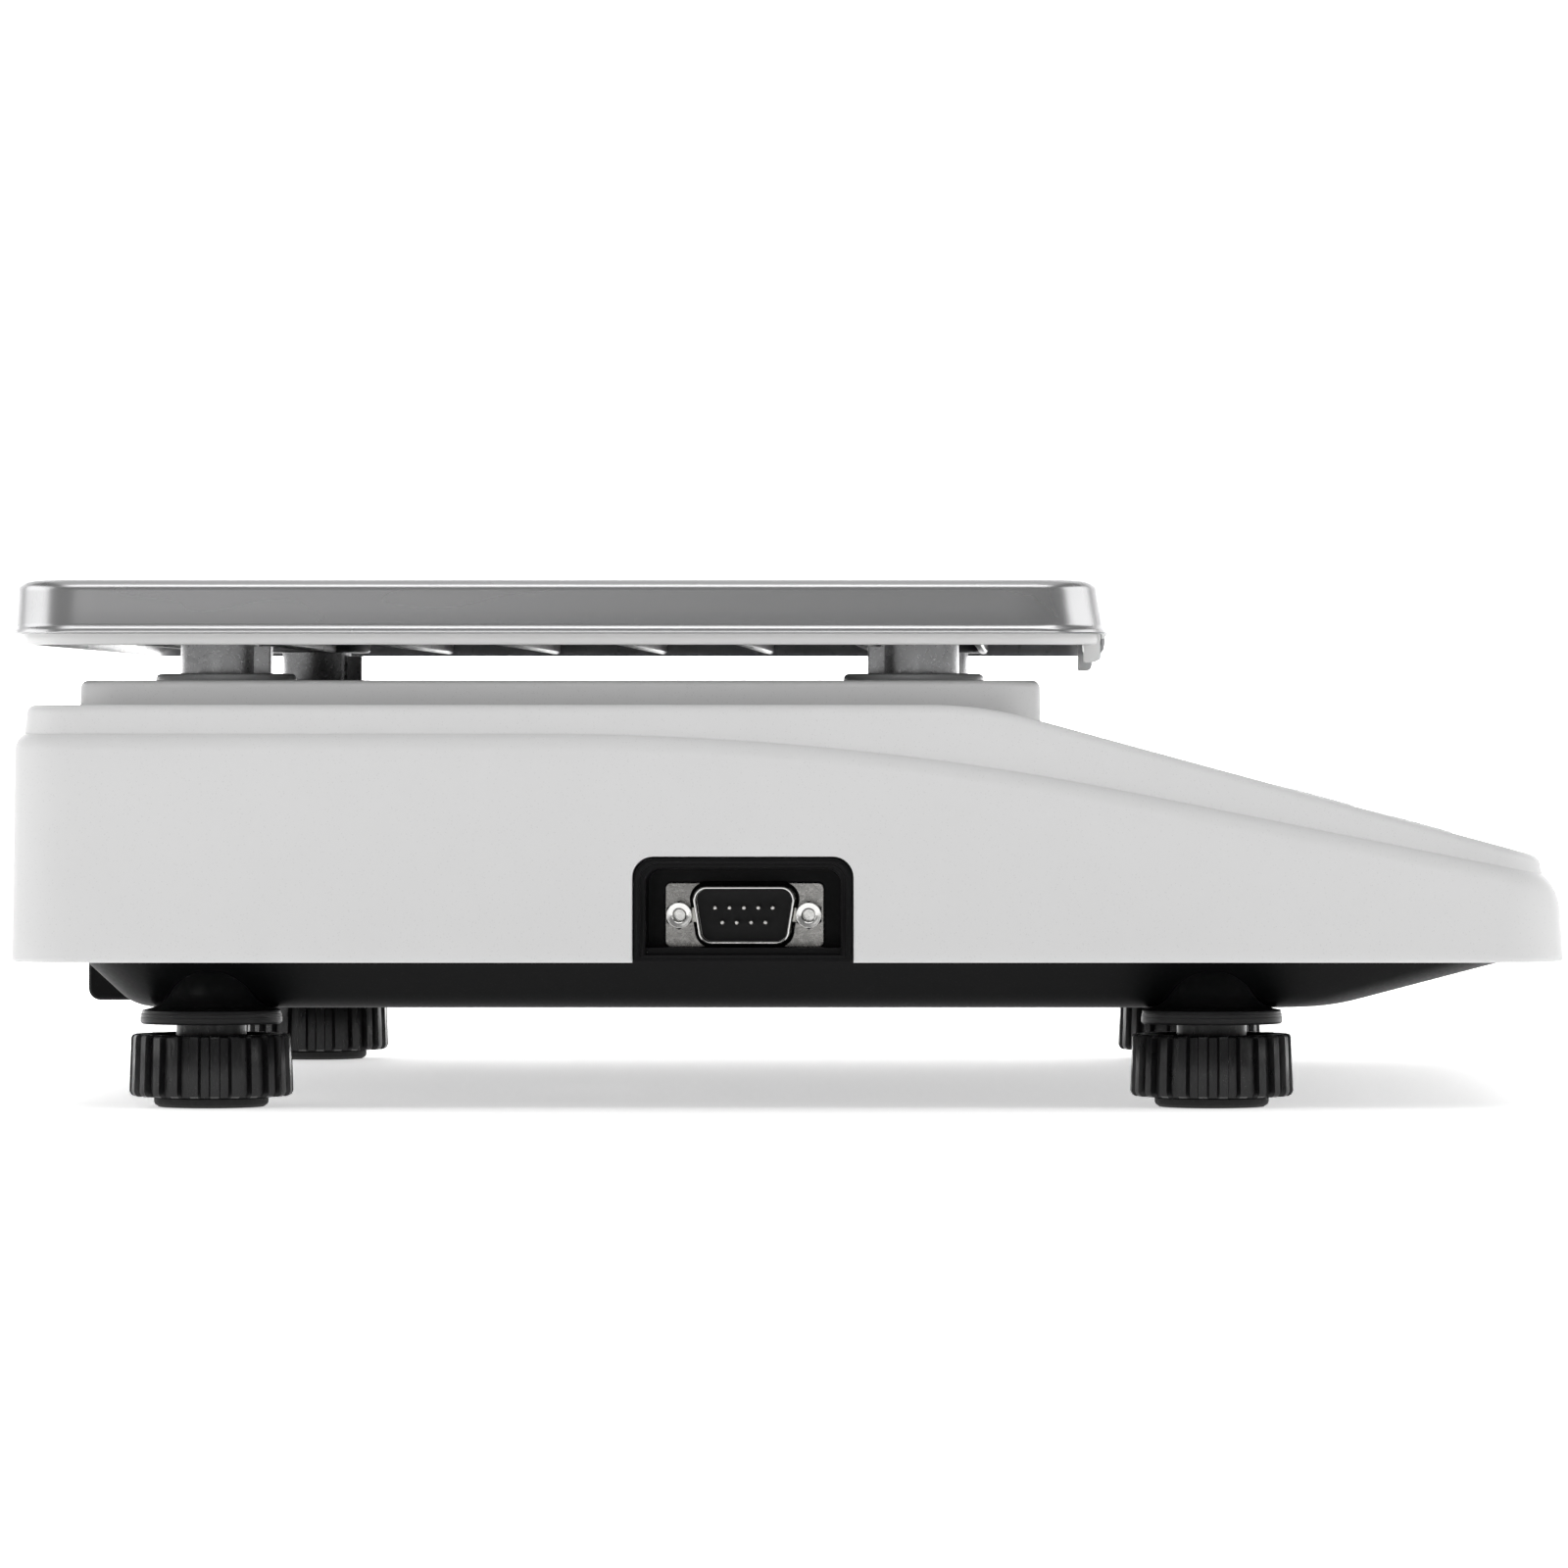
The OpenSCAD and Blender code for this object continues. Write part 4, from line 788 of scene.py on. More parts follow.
block = loft("bay", [bay_section(-BAY_OUTER, 0.5), bay_section(-BAY_OUTER + 0.5),
                     bay_section(BAY_OUTER - 0.5), bay_section(BAY_OUTER, 0.5)])
void_stations = [(0, bay_front), (0, bay_back - 0.5), (-0.15, bay_back - 0.15),
                 (-0.5, bay_back), (-0.5, back_y)]
bay = cut(block, loft("bay_void", [along_y(bay_mouth(shrink), y) for shrink, y in void_stations]))
block_space = loft("space", [bay_section(x, 0.05) for x in (-BAY_OUTER + 0.1, BAY_OUTER - 0.1)])
print("pocket and bay:", len(pocket.polygons), len(bay.polygons), "faces")

# %% [markdown]
# The screws that hold the case and the load cell are kept from the frame. Their heads sit in counterbores,
# so the base gets a pad for each one first, and then a stepped bore.

# %% Screw pads and counterbores, and the finished base
HEAD_R, CELL_SCREW_XS = 3.4, (-55.0, -37.0)
case_low, case_high = span("case_screws")
case_x = case_high[0] - HEAD_R
case_ys = (case_low[1] + HEAD_R, back_y - 100, case_high[1] - HEAD_R)
case_spots = [(sx * case_x, y) for sx in (-1, 1) for y in case_ys]
cell_spots = [(x, sum(span("cell_screws"))[1] / 2) for x in CELL_SCREW_XS]


def stepped(steps, floor, spots):
    """Turned cutters or pads at several places: each step is a radius and a height above the floor."""
    return [lathe("stepped", [(r, floor + rise) for r, rise in steps], 32, spot) for spot in spots]


pads = stepped([(HEAD_R + 2, 1), (HEAD_R + 2, 5)], rim_z, case_spots)
pads += stepped([(9, 1), (9, 5.8)], base_z, cell_spots)
case_bore = [(HEAD_R + 0.5, -1), (HEAD_R + 0.2, 0.3), (HEAD_R + 0.2, 2.4), (1.95, 2.4), (1.95, 6)]
bores = stepped(case_bore, rim_z, case_spots)
bores += stepped([(6.3, -1), (6.0, 0.3), (6.0, 3.6), (3.2, 3.6), (3.2, 8)], base_z, cell_spots)
base_mesh = cut(tub_mesh, joined("pads", pads), how="UNION")
base_mesh = cut(base_mesh, block_space, joined("bores", bores))
place("base_tub", base_mesh, "chassis", black_abs, ["base_housing"])
place("foot_bosses", joined("bosses", bosses), "chassis", boss_abs, ["base_housing"])
place("port_pocket", pocket, "chassis", black_abs, ["base_housing"])
place("rear_bay", bay, "chassis", black_abs, ["base_housing"])
print("base:", len(base_mesh.polygons), "faces")

# %% [markdown]
# ## The weighing pan
# The pan is drawn from one sheet of stainless steel: a flat top, a rounded edge, a skirt that leans out a
# little, and a lip that flares at the bottom. The skin goes up inside and down outside at the sheet's
# thickness. Its front and back lean by different amounts, as the drawn sheet does.

# %% Pan
pan_half, pan_y1, pan_top = pan_high
pan_y0, lip_z = pan_low[1], pan_top - 10.6
SHEET, PAN_EDGE, LIP_OUT, LIP_R = 0.8, 2.3, 0.35, 0.4
PAN_LEAN = np.array([0.7, 1.3, 0.3])


def pan_level(inset, z, lean_share, radius):
    """A level of the pan: its lip's outline, come in by an inset and a share of the skirt's lean."""
    side, front, back = inset + PAN_LEAN * lean_share
    return pan_half - side, pan_y0 + front, pan_y1 - back, radius, z


INNER_EDGE = PAN_EDGE - SHEET
pan_inside = [pan_level(SHEET + LIP_OUT + INNER_EDGE * (1 - c), pan_top - SHEET - INNER_EDGE * (1 - s),
                        1, 12.6 - INNER_EDGE * (1 - c)) for s, c in quarter(6)[::-1]]
pan_inside += [pan_level(SHEET + LIP_OUT, lip_z + 1.6, 0.12, 13), pan_level(SHEET + 0.2, lip_z + 0.9, 0.03, 13),
               pan_level(SHEET, lip_z + 0.3, 0, 13)]
pan_lip = [pan_level(LIP_R + LIP_R * math.cos(a), lip_z + LIP_R - LIP_R * math.sin(a), 0, 13.4)
           for a in np.linspace(math.radians(10), math.radians(170), 7)]
pan_outside = [pan_level(0.02, lip_z + 0.75, 0, 13.6), pan_level(0.16, lip_z + 1.15, 0.02, 13.6),
               pan_level(0.32, lip_z + 1.5, 0.08, 13.5), pan_level(LIP_OUT, lip_z + 2.0, 0.15, 13.4),
               pan_level(LIP_OUT, lip_z + 5.0, 0.6, 13.4)]
pan_outside += [pan_level(LIP_OUT + PAN_EDGE * (1 - c), pan_top - PAN_EDGE * (1 - s), 1,
                          13.4 - PAN_EDGE * (1 - c)) for s, c in quarter(8)]
pan_stops = np.linspace(0.02, 0.98, 20)
pan_mesh = dish("pan", pan_inside + pan_lip + pan_outside, pan_stops)
place("pan_sheet", pan_mesh, "pan", pan_steel, ["weighing_pan"])

print("pan:", len(pan_mesh.polygons), "faces, top at", round(pan_top, 1))

# %% [markdown]
# A short finger tab hangs from the lip at the front and curls back at its end, so that the pan can be
# lifted off. Its section is the same all along, only a little shorter near its two ends.

# %% Finger tab
TAB_HALF, TAB_ROOT = 30, lip_z + 1.2
tab_profile = np.array([(0.1, 0), (0.0, 1.0), (0.0, 2.7), (0.25, 4.4), (0.9, 5.3), (1.35, 5.0), (0.95, 4.2),
                        (0.7, 2.7), (0.75, 1.0), (0.85, 0)])
tab_x = np.linspace(-TAB_HALF, TAB_HALF, 13)
tab_length = 1 - 0.25 * (np.abs(tab_x) / TAB_HALF) ** 6
tab_rings = [along_x(np.column_stack([pan_y0 + tab_profile[:, 0], TAB_ROOT - tab_profile[:, 1] * length]), x)
             for x, length in zip(tab_x, tab_length)]
place("pan_tab", loft("tab", tab_rings), "pan", pan_steel, ["weighing_pan"])
print("tab:", 2 * TAB_HALF, "mm wide")

# %% [markdown]
# ## The tray inside the pan
# The pan rests on a plastic tray that sits on the four posts. From the side only its lower rim shows, and
# from below its ribs, which run across it every 24 mm. The rim is a dish turned over, and each rib is a
# thin blade with a rounded lower edge.

# %% Tray
tray_half, tray_y1 = tray_high[:2]
tray_z, tray_top = 90.0, tray_high[2] - 0.1
tray_y0 = pan_y0 + 1.6


def tray_level(inset, z, radius=12.0):
    """A level of the tray: its outline, come in by an inset and by a lean that grows with the height."""
    rise = max(z - tray_z - 2, 0) / 10
    return (tray_half - inset - 0.5 * rise, tray_y0 + inset + 1.4 * rise, tray_y1 - inset - 0.2 * rise,
            radius - inset, z)


def tray_levels(inside, outside):
    """Levels of the tray from (inset, height) pairs, measured down from its top and then up from its foot."""
    return [tray_level(inset, tray_top - down) for inset, down in inside] + [
        tray_level(inset, tray_z + up) for inset, up in outside]


RIM_FOOT = [(2.0, 1), (1.7, 0.2), (1.35, 0), (0.6, 0), (0.2, 0.25), (0.05, 0.8), (0, 1.4)]
RIM_TOP = [(0, 1.2), (0.4, 0.3), (1.2, 0)]
tray_shell = dish("tray", tray_levels([(2.3, 2.5)], RIM_FOOT) + tray_levels(RIM_TOP, []), pan_stops)
WELL_FOOT = [(1.95, 1), (1.6, 0.12), (1.35, -0.02), (1.6, -0.05), (1.9, 0.1), (2.25, 1)]
well = dish("well", tray_levels([(2.2, 2.55)], WELL_FOOT) + tray_levels([(2.6, 2.9)], []), pan_stops)

RIB_PITCH, RIB_HALF, rib_z = 24.0, 0.9, tray_z + 0.4
rib_section = np.array([(-RIB_HALF, tray_top - 2.2), (-RIB_HALF, rib_z + 0.6), (-0.6, rib_z + 0.15), (0, rib_z),
                        (0.6, rib_z + 0.15), (RIB_HALF, rib_z + 0.6), (RIB_HALF, tray_top - 2.2)])
rib_ys = np.arange(tray_low[1] + RIB_PITCH, tray_y1 - 12, RIB_PITCH)
rib_end = tray_half - 1.9
ribs = [loft("rib", [along_x(rib_section + [y, 0], x) for x in (-rib_end, rib_end)]) for y in rib_ys]
print("tray: ribs at", [round(float(y)) for y in rib_ys])

# %% [markdown]
# Each post ends in a socket under the tray, and two small blocks stand down from its front corners. The
# well, the ribs and the sockets are painted shade: the tray is white plastic, made dark grey here where it lies
# in the shadow under the pan.

# %% Sockets and corner blocks
POST_SHIFT = POST_RIB / 2
post_places = [(sx * post_x, y + (POST_SHIFT if y > 0 else -POST_SHIFT), 1 if y > 0 else -1)
               for sx in (-1, 1) for y in post_ys]
socket_profile = [(8.1, tray_top - 4.9), (8.1, tray_z + 0.9), (8.5, tray_z + 0.6), (11.6, tray_z + 0.6),
                  (12, tray_z + 1.0), (12, tray_top - 2)]
sockets = [lathe("socket", socket_profile, 40, (x, y), (False, False)) for x, y, _ in post_places]
block_side = np.array([(0.1, 4.0), (0.1, -2.2), (0.35, -2.9), (0.9, -3.3), (1.5, -3.4), (3.1, -3.4),
                       (3.3, -3.2), (3.3, 4.0)]) + [tray_y0, tray_z]
BLOCK_X = (129, 135.4)
corner_blocks = [loft("corner_block", [along_x(block_side, sx * x) for x in BLOCK_X]) for sx in (-1, 1)]
place("tray_rim", joined("tray_rim", [tray_shell] + corner_blocks), "tray", tray_abs, ["pan_tray"])
# The well, ribs and sockets carry painted shade, the dark grey of the shadow under the pan.
place("tray_well_painted_shade", well, "tray", tray_painted_shade, ["pan_tray"])
place("tray_ribs", joined("tray_ribs", ribs + sockets), "tray", tray_painted_shade, ["pan_tray"])
print("tray:", len(sockets), "sockets,", len(corner_blocks), "blocks")

# %% [markdown]
# ## Posts and collars
# Four posts carry the tray through the deck. Each is a round column with a narrow rib down one side, and
# each passes through a turned collar with a softly rounded rim.

# %% Posts and collars
spider_top = span("support_posts")[0][2]
post_head = span("support_posts")[1][2]
POST_R = POST_D / 2
post_profile = [(POST_R + 4, spider_top), (POST_R + 4, spider_top + 2.6), (POST_R + 3.6, spider_top + 3),
                (POST_R, spider_top + 3), (POST_R, post_head - 0.6), (POST_R - 0.6, post_head)]
columns = []
for x, y, way in post_places:
    columns.append(lathe("post", post_profile, 64, (x, y)))
    strip = rounded(3.0, 2.4, 0.5, 3) + np.array([x, y - way * (POST_R + 0.2)])
    columns.append(loft("strip", [at_height(strip, z) for z in (spider_top, tray_z - 0.2)]))
place("posts", joined("posts", columns), "platform", post_paint, ["support_posts"])
COLLAR_R, COLLAR_T = 13.7, 1.4
collar_profile = [(COLLAR_BORE, -3), (COLLAR_BORE, COLLAR_T - 0.3), (COLLAR_BORE + 0.3, COLLAR_T),
                  (COLLAR_R - 0.8, COLLAR_T - 0.05), (COLLAR_R - 0.25, COLLAR_T - 0.3),
                  (COLLAR_R, COLLAR_T - 0.75), (COLLAR_R, 0.02), (COLLAR_BORE + 0.7, 0.02),
                  (COLLAR_BORE + 0.7, -3), (COLLAR_BORE, -3)]
collar_profile = [(r, plinth_z + rise) for r, rise in collar_profile]
collars = [lathe("collar", collar_profile, 64, (sx * post_x, y), (False, False))
           for sx in (-1, 1) for y in post_ys]
place("collars", joined("collars", collars), "chassis", collar_abs, ["post_collars"])
print("posts and collars:", len(columns) // 2, len(collars))

# %% [markdown]
# ## Feet
# A foot has a knob with 24 flutes, a smooth neck that enters the boss, and a rubber pad with a chamfer.
# The flutes are one formula: the knob's radius drops in a flat-bottomed groove, over and over, around the
# circle. Its top is hollowed, which leaves a rim around the neck.

# %% Feet
KNOB_Z, KNOB_H, KNOB_R, FLUTES, FLUTE = 2.1, 12.1, 15.95, 24, 1.25
NECK_R, NECK_TOP = 6.8, ring_z + 4.8


def fluted(radius, deep, around=FLUTES * 10):
    """A circle whose radius drops by deep where the cosine of FLUTES times the angle is high.

    The drop eases in over a short stretch, which makes flat-bottomed grooves with steep sides.
    """
    a = np.linspace(0, 2 * np.pi, around, endpoint=False)
    wave = np.cos(a * FLUTES)
    groove = ease((wave + 0.3) / 0.55)
    r = radius - deep * groove
    return np.stack([r * np.cos(a), r * np.sin(a)], axis=-1)


def plain(radius):
    """A circle with as many points as a fluted one, so that a skin can join the two."""
    return disc(radius, FLUTES * 10)


def knob_rings(centre):
    """Rings of the knob: up the fluted side, over the edge, down into the hollow top, and up the neck."""
    top = KNOB_Z + KNOB_H
    turns = [(plain(4.1), KNOB_Z + 4.5), (plain(4.1), KNOB_Z), (plain(KNOB_R - 3.2), KNOB_Z),
             (fluted(KNOB_R - 0.9, FLUTE * 0.6), KNOB_Z), (fluted(KNOB_R - 0.35, FLUTE), KNOB_Z + 0.3),
             (fluted(KNOB_R, FLUTE), KNOB_Z + 1.0), (fluted(KNOB_R - 0.35, FLUTE), top - 0.6),
             (fluted(KNOB_R - 0.65, FLUTE), top - 0.15), (fluted(KNOB_R - 1.2, FLUTE * 0.8), top),
             (plain(KNOB_R - 3.0), top), (plain(KNOB_R - 3.4), top - 0.4), (plain(KNOB_R - 4.2), top - 1.9),
             (plain(NECK_R + 1.2), top - 2), (plain(NECK_R), top - 1.4), (plain(NECK_R), NECK_TOP - 0.5),
             (plain(NECK_R - 0.5), NECK_TOP)]
    return [at_height(outline + np.asarray(centre), z) for outline, z in turns]


pad_profile = [(9.6, 0.0), (10.25, 0.0), (11.0, 0.55), (11.15, 1.0), (11.15, 1.7), (10.9, 1.9), (3.9, 1.9),
               (3.9, 5.7), (3.6, 5.9)]
for corner, centre in feet.items():
    place(f"knob_{corner}", loft("knob", knob_rings(centre)), f"foot_{corner}", knob_nylon,
          [f"foot_knob_{corner}"])
    place(f"pad_{corner}_rubber", lathe("pad", pad_profile, 56, centre), f"pad_{corner}", foot_rubber,
          [f"foot_pad_{corner}"])
print("feet:", list(feet))

# %% [markdown]
# ## The serial port
# A nine-pin D connector: a zinc plate, a polished shell in the shape of a D, a black insulator with five
# pins over four, and two hexagonal jack screws. The D is a four-cornered outline with round corners whose
# upper side is wider, and the shell is that outline carried forward, rolled over, and carried back.


# %% D outlines
def d_outline(shrink):
    """The D of the connector: a quarter circle about each of four points, the upper two wider apart."""
    radius = 2.6 - shrink
    corners = np.array([(7.2, 3.0), (-7.2, 3.0), (-6.2, -3.0), (6.2, -3.0)])
    start = np.arctan2(np.sign(corners[:, 1]), np.sign(corners[:, 0])) - np.pi / 4
    a = start[:, None] + np.linspace(0, np.pi / 2, 9)[None, :]
    y = corners[:, 0:1] + radius * np.cos(a)
    z = corners[:, 1:2] + radius * np.sin(a)
    return np.stack([y.ravel(), z.ravel()], axis=-1)


def port_rings(stations, outline):
    """Rings of an outline at (shrink, distance in front of the pocket's back) stations."""
    here = np.array([port_y, port_z])
    return [along_x(outline(t) + here, port_back_x - ahead) for t, ahead in stations]


FLANGE_T, SHELL_OUT = 0.8, 6.7
plate = loft("plate", port_rings([(0, 0.02), (0, FLANGE_T - 0.2), (0.2, FLANGE_T)],
                                 lambda t: rounded(15.4 - t, 6.27 - t, 1.2 - t, 5)))
shell_stations = [(-0.9, FLANGE_T - 0.1), (-0.75, FLANGE_T + 0.1), (-0.3, FLANGE_T + 0.35),
                  (-0.05, FLANGE_T + 0.8), (0, FLANGE_T + 1.3), (0, SHELL_OUT - 0.25), (0.08, SHELL_OUT - 0.07),
                  (0.25, SHELL_OUT), (0.42, SHELL_OUT - 0.07), (0.5, SHELL_OUT - 0.25), (0.5, FLANGE_T + 0.5)]
shell = loft("shell", port_rings(shell_stations, d_outline))
place("serial_plate", plate, "chassis", zinc, ["serial_shell"])
place("serial_shell_d", shell, "chassis", bright_zinc, ["serial_shell"])
block_stations = [(0.55, FLANGE_T + 0.4), (0.55, FLANGE_T + 1.1), (0.7, FLANGE_T + 1.25)]
insulator = loft("insulator", port_rings(block_stations, d_outline))
place("serial_block", insulator, "chassis", switch_pbt, ["serial_insulator"])

print("connector:", len(shell.polygons), "faces in its shell")

# %% [markdown]
# The pins are turned, with a rounded tip. A jack screw is a hexagon whose corners are cut by a cone, with
# fine grooves for a thread inside.

# %% Pins and jack screws
JACK_PITCH, JACK_HEX, JACK_FACE = 24.99, 2.77, 2.42
PIN_PITCH, PIN_ROWS, PIN_TIP = 2.77, 2.84, FLANGE_T + 5.3
pin_centres = [((i - 2) * PIN_PITCH, PIN_ROWS / 2) for i in range(5)]
pin_centres += [((i - 1.5) * PIN_PITCH, -PIN_ROWS / 2) for i in range(4)]


def port_turned(profile, centre, around=16):
    """Circles about an axis that points out of the port: (radius, distance ahead) stations."""
    here = np.array([port_y, port_z]) + np.asarray(centre)
    return [along_x(disc(r, around) + here, port_back_x - ahead) for r, ahead in profile]


pin_profile = [(0.5, 0.5), (0.5, PIN_TIP - 0.55), (0.42, PIN_TIP - 0.25), (0.24, PIN_TIP - 0.05),
               (0.08, PIN_TIP)]
pins = [loft("pin", port_turned(pin_profile, centre)) for centre in pin_centres]
place("serial_pin_set", joined("pins", pins), "chassis", bright_zinc, ["serial_pins"])


def hexagon(radius, around=48):
    """A hexagon sampled like a circle: its radius is the flat's distance over the cosine to the flat."""
    a = np.linspace(0, 2 * np.pi, around, endpoint=False)
    fold = (a + np.pi / 6) % (np.pi / 3) - np.pi / 6
    r = radius * math.cos(math.pi / 6) / np.cos(fold)
    return np.stack([r * np.cos(a), r * np.sin(a)], axis=-1)


def jack(side):
    """A jack screw: a hexagonal body, a chamfer to a round face, and a threaded hole."""
    out = FLANGE_T + 5
    body = hexagon(JACK_HEX)
    face = np.minimum(1, JACK_FACE / np.linalg.norm(body, axis=1))[:, None] * body
    grooves = [(1.15 + 0.12 * (k % 2), out - 0.35 - 0.35 * k) for k in range(12)]
    stations = [(body, FLANGE_T), (body, out - 0.5), (face, out)]
    stations += [(disc(r, 48), ahead) for r, ahead in [(1.6, out), (1.35, out - 0.12)] + grooves]
    centre = np.array([port_y + side * JACK_PITCH / 2, port_z])
    return loft("jack", [along_x(outline + centre, port_back_x - ahead) for outline, ahead in stations])


jacks = joined("jacks", [jack(side) for side in (-1, 1)])
place("jack_pair", jacks, "chassis", bright_zinc, ["jack_screws"])
print("port: 9 pins, 2 jack screws")

# %% [markdown]
# ## Keypad, display and level
# The panel on the slope isn't seen from the side, so it is made the way such panels are: a printed
# overlay with two rows of keys, three liquid-crystal displays behind one clear lens, and a round
# level. Every key is a soft pad with a rounded, slightly dished top.

# %% Overlay with its windows
def slope_plate(name, outline, stations, centre):
    """A loft on the slope: an outline function of its growth, at (growth, height) stations."""
    return loft(name, on_slope(stack(outline, stations, centre)))


def gap(outline, centre):
    """A cutter that goes right through the overlay, with straight sides."""
    return slope_plate("gap", lambda grow: outline, [(0, -2), (0, 1)], centre)


lens_centre = (LENS_X, DISPLAY_V)
film_x, film_y = PANEL_HALF[0] - KEY_GAP, PANEL_HALF[1] - KEY_GAP
overlay = slope_plate("overlay", lambda g: rounded(film_x + g, film_y + g, 4, 8),
                      [(0, -PANEL_T + 0.02), (0, -0.15), (-0.15, 0)], (0, PANEL_V))
key_gaps = [gap(rounded(KEY_HALF[0] + KEY_GAP, KEY_HALF[1] + KEY_GAP, 2.2, 5), centre)
            for centre in key_places]
key_gaps.append(gap(rounded(LENS_HALF[0] + KEY_GAP, LENS_HALF[1] + KEY_GAP, 3.2, 5), lens_centre))
key_gaps.append(gap(disc(VIAL_R + KEY_GAP, 40), vial_centre))
overlay_mesh = cut(overlay, joined("gaps", key_gaps))
place("overlay", overlay_mesh, "chassis", overlay_print, ["keypad_panel"])
print("overlay:", len(key_gaps), "openings")

# %% [markdown]
# A key is one skin from its wide foot, under the panel, to its slightly dished top. Its figure is a text
# curve that has been made a mesh, laid on the slope as a thin layer of ink.

# %% Keys with their numbers
KEY_TOP, KEY_FOOT, SIGNS = 0.2, -3.3, "+-=.<>"
key_marks = ["1", "2", "3", "4", "5", "+", "-", "=", "6", "7", "8", "9", "0", ".", "<", ">"]


def key_mesh(centre):
    """A key: a rounded rectangle at stations up its foot, side, quarter-circle edge and dished top."""
    stations = [(1.2, KEY_FOOT - 1.1), (1.2, KEY_FOOT + 0.1), (0, KEY_FOOT + 0.1), (0, KEY_TOP - 0.6)]
    stations += [(-0.6 * (1 - c), KEY_TOP - 0.6 * (1 - s)) for s, c in quarter(5)[1:]]
    stations += [(-2.2, KEY_TOP - 0.08), (-3.6, KEY_TOP - 0.14)]
    return slope_plate("key", lambda g: rounded(KEY_HALF[0] + g, KEY_HALF[1] + g, max(2.0 + g, 0.8), 5),
                       stations, centre)


def mark_mesh(text, centre, height, out, size=5.6):
    """A printed figure, made from a text curve, as a thin raised layer of ink on the slope."""
    curve = bpy.data.curves.new("figure", "FONT")
    curve.body = text
    curve.size = size
    curve.align_x = "CENTER"
    curve.align_y = "CENTER"
    curve.extrude = height
    holder = bpy.data.objects.new("figure", curve)
    bpy.context.scene.collection.objects.link(holder)
    bpy.context.view_layer.update()
    mesh = bpy.data.meshes.new_from_object(holder.evaluated_get(bpy.context.evaluated_depsgraph_get()))
    bpy.data.objects.remove(holder)
    points = np.zeros(len(mesh.vertices) * 3, np.float32)
    mesh.vertices.foreach_get("co", points)
    points = points.reshape(-1, 3).astype(float) + np.array([centre[0], centre[1], out])
    mesh.vertices.foreach_set("co", (on_slope(points) * MM).astype(np.float32).ravel())
    mesh.update()
    return weld(mesh)


for number, (centre, text) in enumerate(zip(key_places, key_marks), start=1):
    body = f"key_{number:02d}"
    cap, ink = (accent_key, key_silicone) if text in SIGNS else (key_silicone, dark_ink)
    place(f"{body}_cap", key_mesh(centre), body, cap, [body])
    place(f"{body}_figure", mark_mesh(text, centre, 0.03, KEY_TOP - 0.13), body, ink)
print("keys:", len(key_places))

# %% [markdown]
# ## Displays
# Each display is a slab of liquid crystal with room for six figures. A figure is up to seven bars, and only
# the lit ones are made: the six of a nought. They are thin hexagons, with mitred ends like real ones.

# %% Displays
SEGMENTS = {"0": "abcdef"}  # an empty scale shows a nought in each display
BAR_PLACES = {"a": (0, 1, 0), "b": (0.5, 0.5, 1), "c": (0.5, -0.5, 1), "d": (0, -1, 0),
              "e": (-0.5, -0.5, 1), "f": (-0.5, 0.5, 1)}
FIGURE_W, FIGURE_H, FIGURE_PITCH, BAR_W, LCD_OUT = 6.6, 6.0, 11.2, 1.15, -3.0


def bar(centre, upright):
    """One bar of a figure: a long hexagon, upright or level, whose ends come to a right angle."""
    half, thick = (FIGURE_H if upright else FIGURE_W) / 2 - 0.25, BAR_W / 2
    shape = np.array([(-half, 0), (-half + thick, -thick), (half - thick, -thick), (half, 0),
                      (half - thick, thick), (-half + thick, thick)])
    if upright:
        shape = shape[:, ::-1] * np.array([1, -1])
    ring = shape + np.asarray(centre)
    return loft("bar", on_slope(np.array([at_height(ring, z) for z in (LCD_OUT - 0.05, LCD_OUT + 0.02)])))


def figures(text, centre):
    """The bars of a row of figures, right-aligned in six places."""
    bars = []
    for index, figure in enumerate(text.rjust(6)):
        x = centre[0] + (index - 2.5) * FIGURE_PITCH
        for name in SEGMENTS.get(figure, ""):
            dx, dy, upright = BAR_PLACES[name]
            bars.append(bar((x + dx * FIGURE_W, centre[1] + dy * FIGURE_H), upright))
    return bars


slabs, lit = [], []
for centre in display_centres:
    slabs.append(slope_plate("slab", lambda g: rounded(38.5 + g, 11 + g, 1, 4),
                             [(0, -9.3), (0, LCD_OUT - 0.35), (-0.2, LCD_OUT - 0.2)], centre))
    lit += figures("0", centre)
place("lcd_slabs", joined("slabs", slabs), "chassis", lcd_film, ["lcd_modules"])
place("lcd_figures", joined("figures", lit), "chassis", lcd_ink)
lens = slope_plate("lens", lambda g: rounded(LENS_HALF[0] + g, LENS_HALF[1] + g, 3, 6),
                   [(0, -PANEL_T + 0.03), (0, -0.25), (-0.2, -0.05)], lens_centre)
place("display_window", lens, "chassis", clear_acrylic, ["display_lens"])
print("display bars:", len(lit))

# %% [markdown]
# ## The level
# A round level is a black cup full of a yellow-green liquid whose top is slightly domed. A black ring on
# it shows where the bubble should be.


# %% Level
def level_turned(profile):
    """A turned shape about the level's axis: each point is a radius and a height above the slope."""
    rings = [at_height(disc(r, 40) + np.array(vial_centre), z) for r, z in profile]
    return loft("turned", on_slope(np.array(rings)))


cup = [(5.6, -5.9), (9.0, -5.95), (9.0, -3.3), (6.8, -3.2), (6.8, -0.6), (6.6, -0.35), (6.0, -0.2),
       (5.6, -0.25), (5.6, -1.0), (5.5, -5.5)]
liquid = [(5.5, -5.4), (5.5, -0.9), (5.3, -0.6), (3.5, -0.45), (0.5, -0.4)]
aim = [(2.6, -0.42), (2.6, -0.3), (3.0, -0.3), (3.0, -0.42)]
place("level_cup", level_turned(cup), "chassis", switch_pbt, ["level_vial"])
place("level_liquid", level_turned(liquid), "chassis", vial_liquid)
place("level_ring", level_turned(aim), "chassis", lcd_ink)
print("level at", vial_centre)

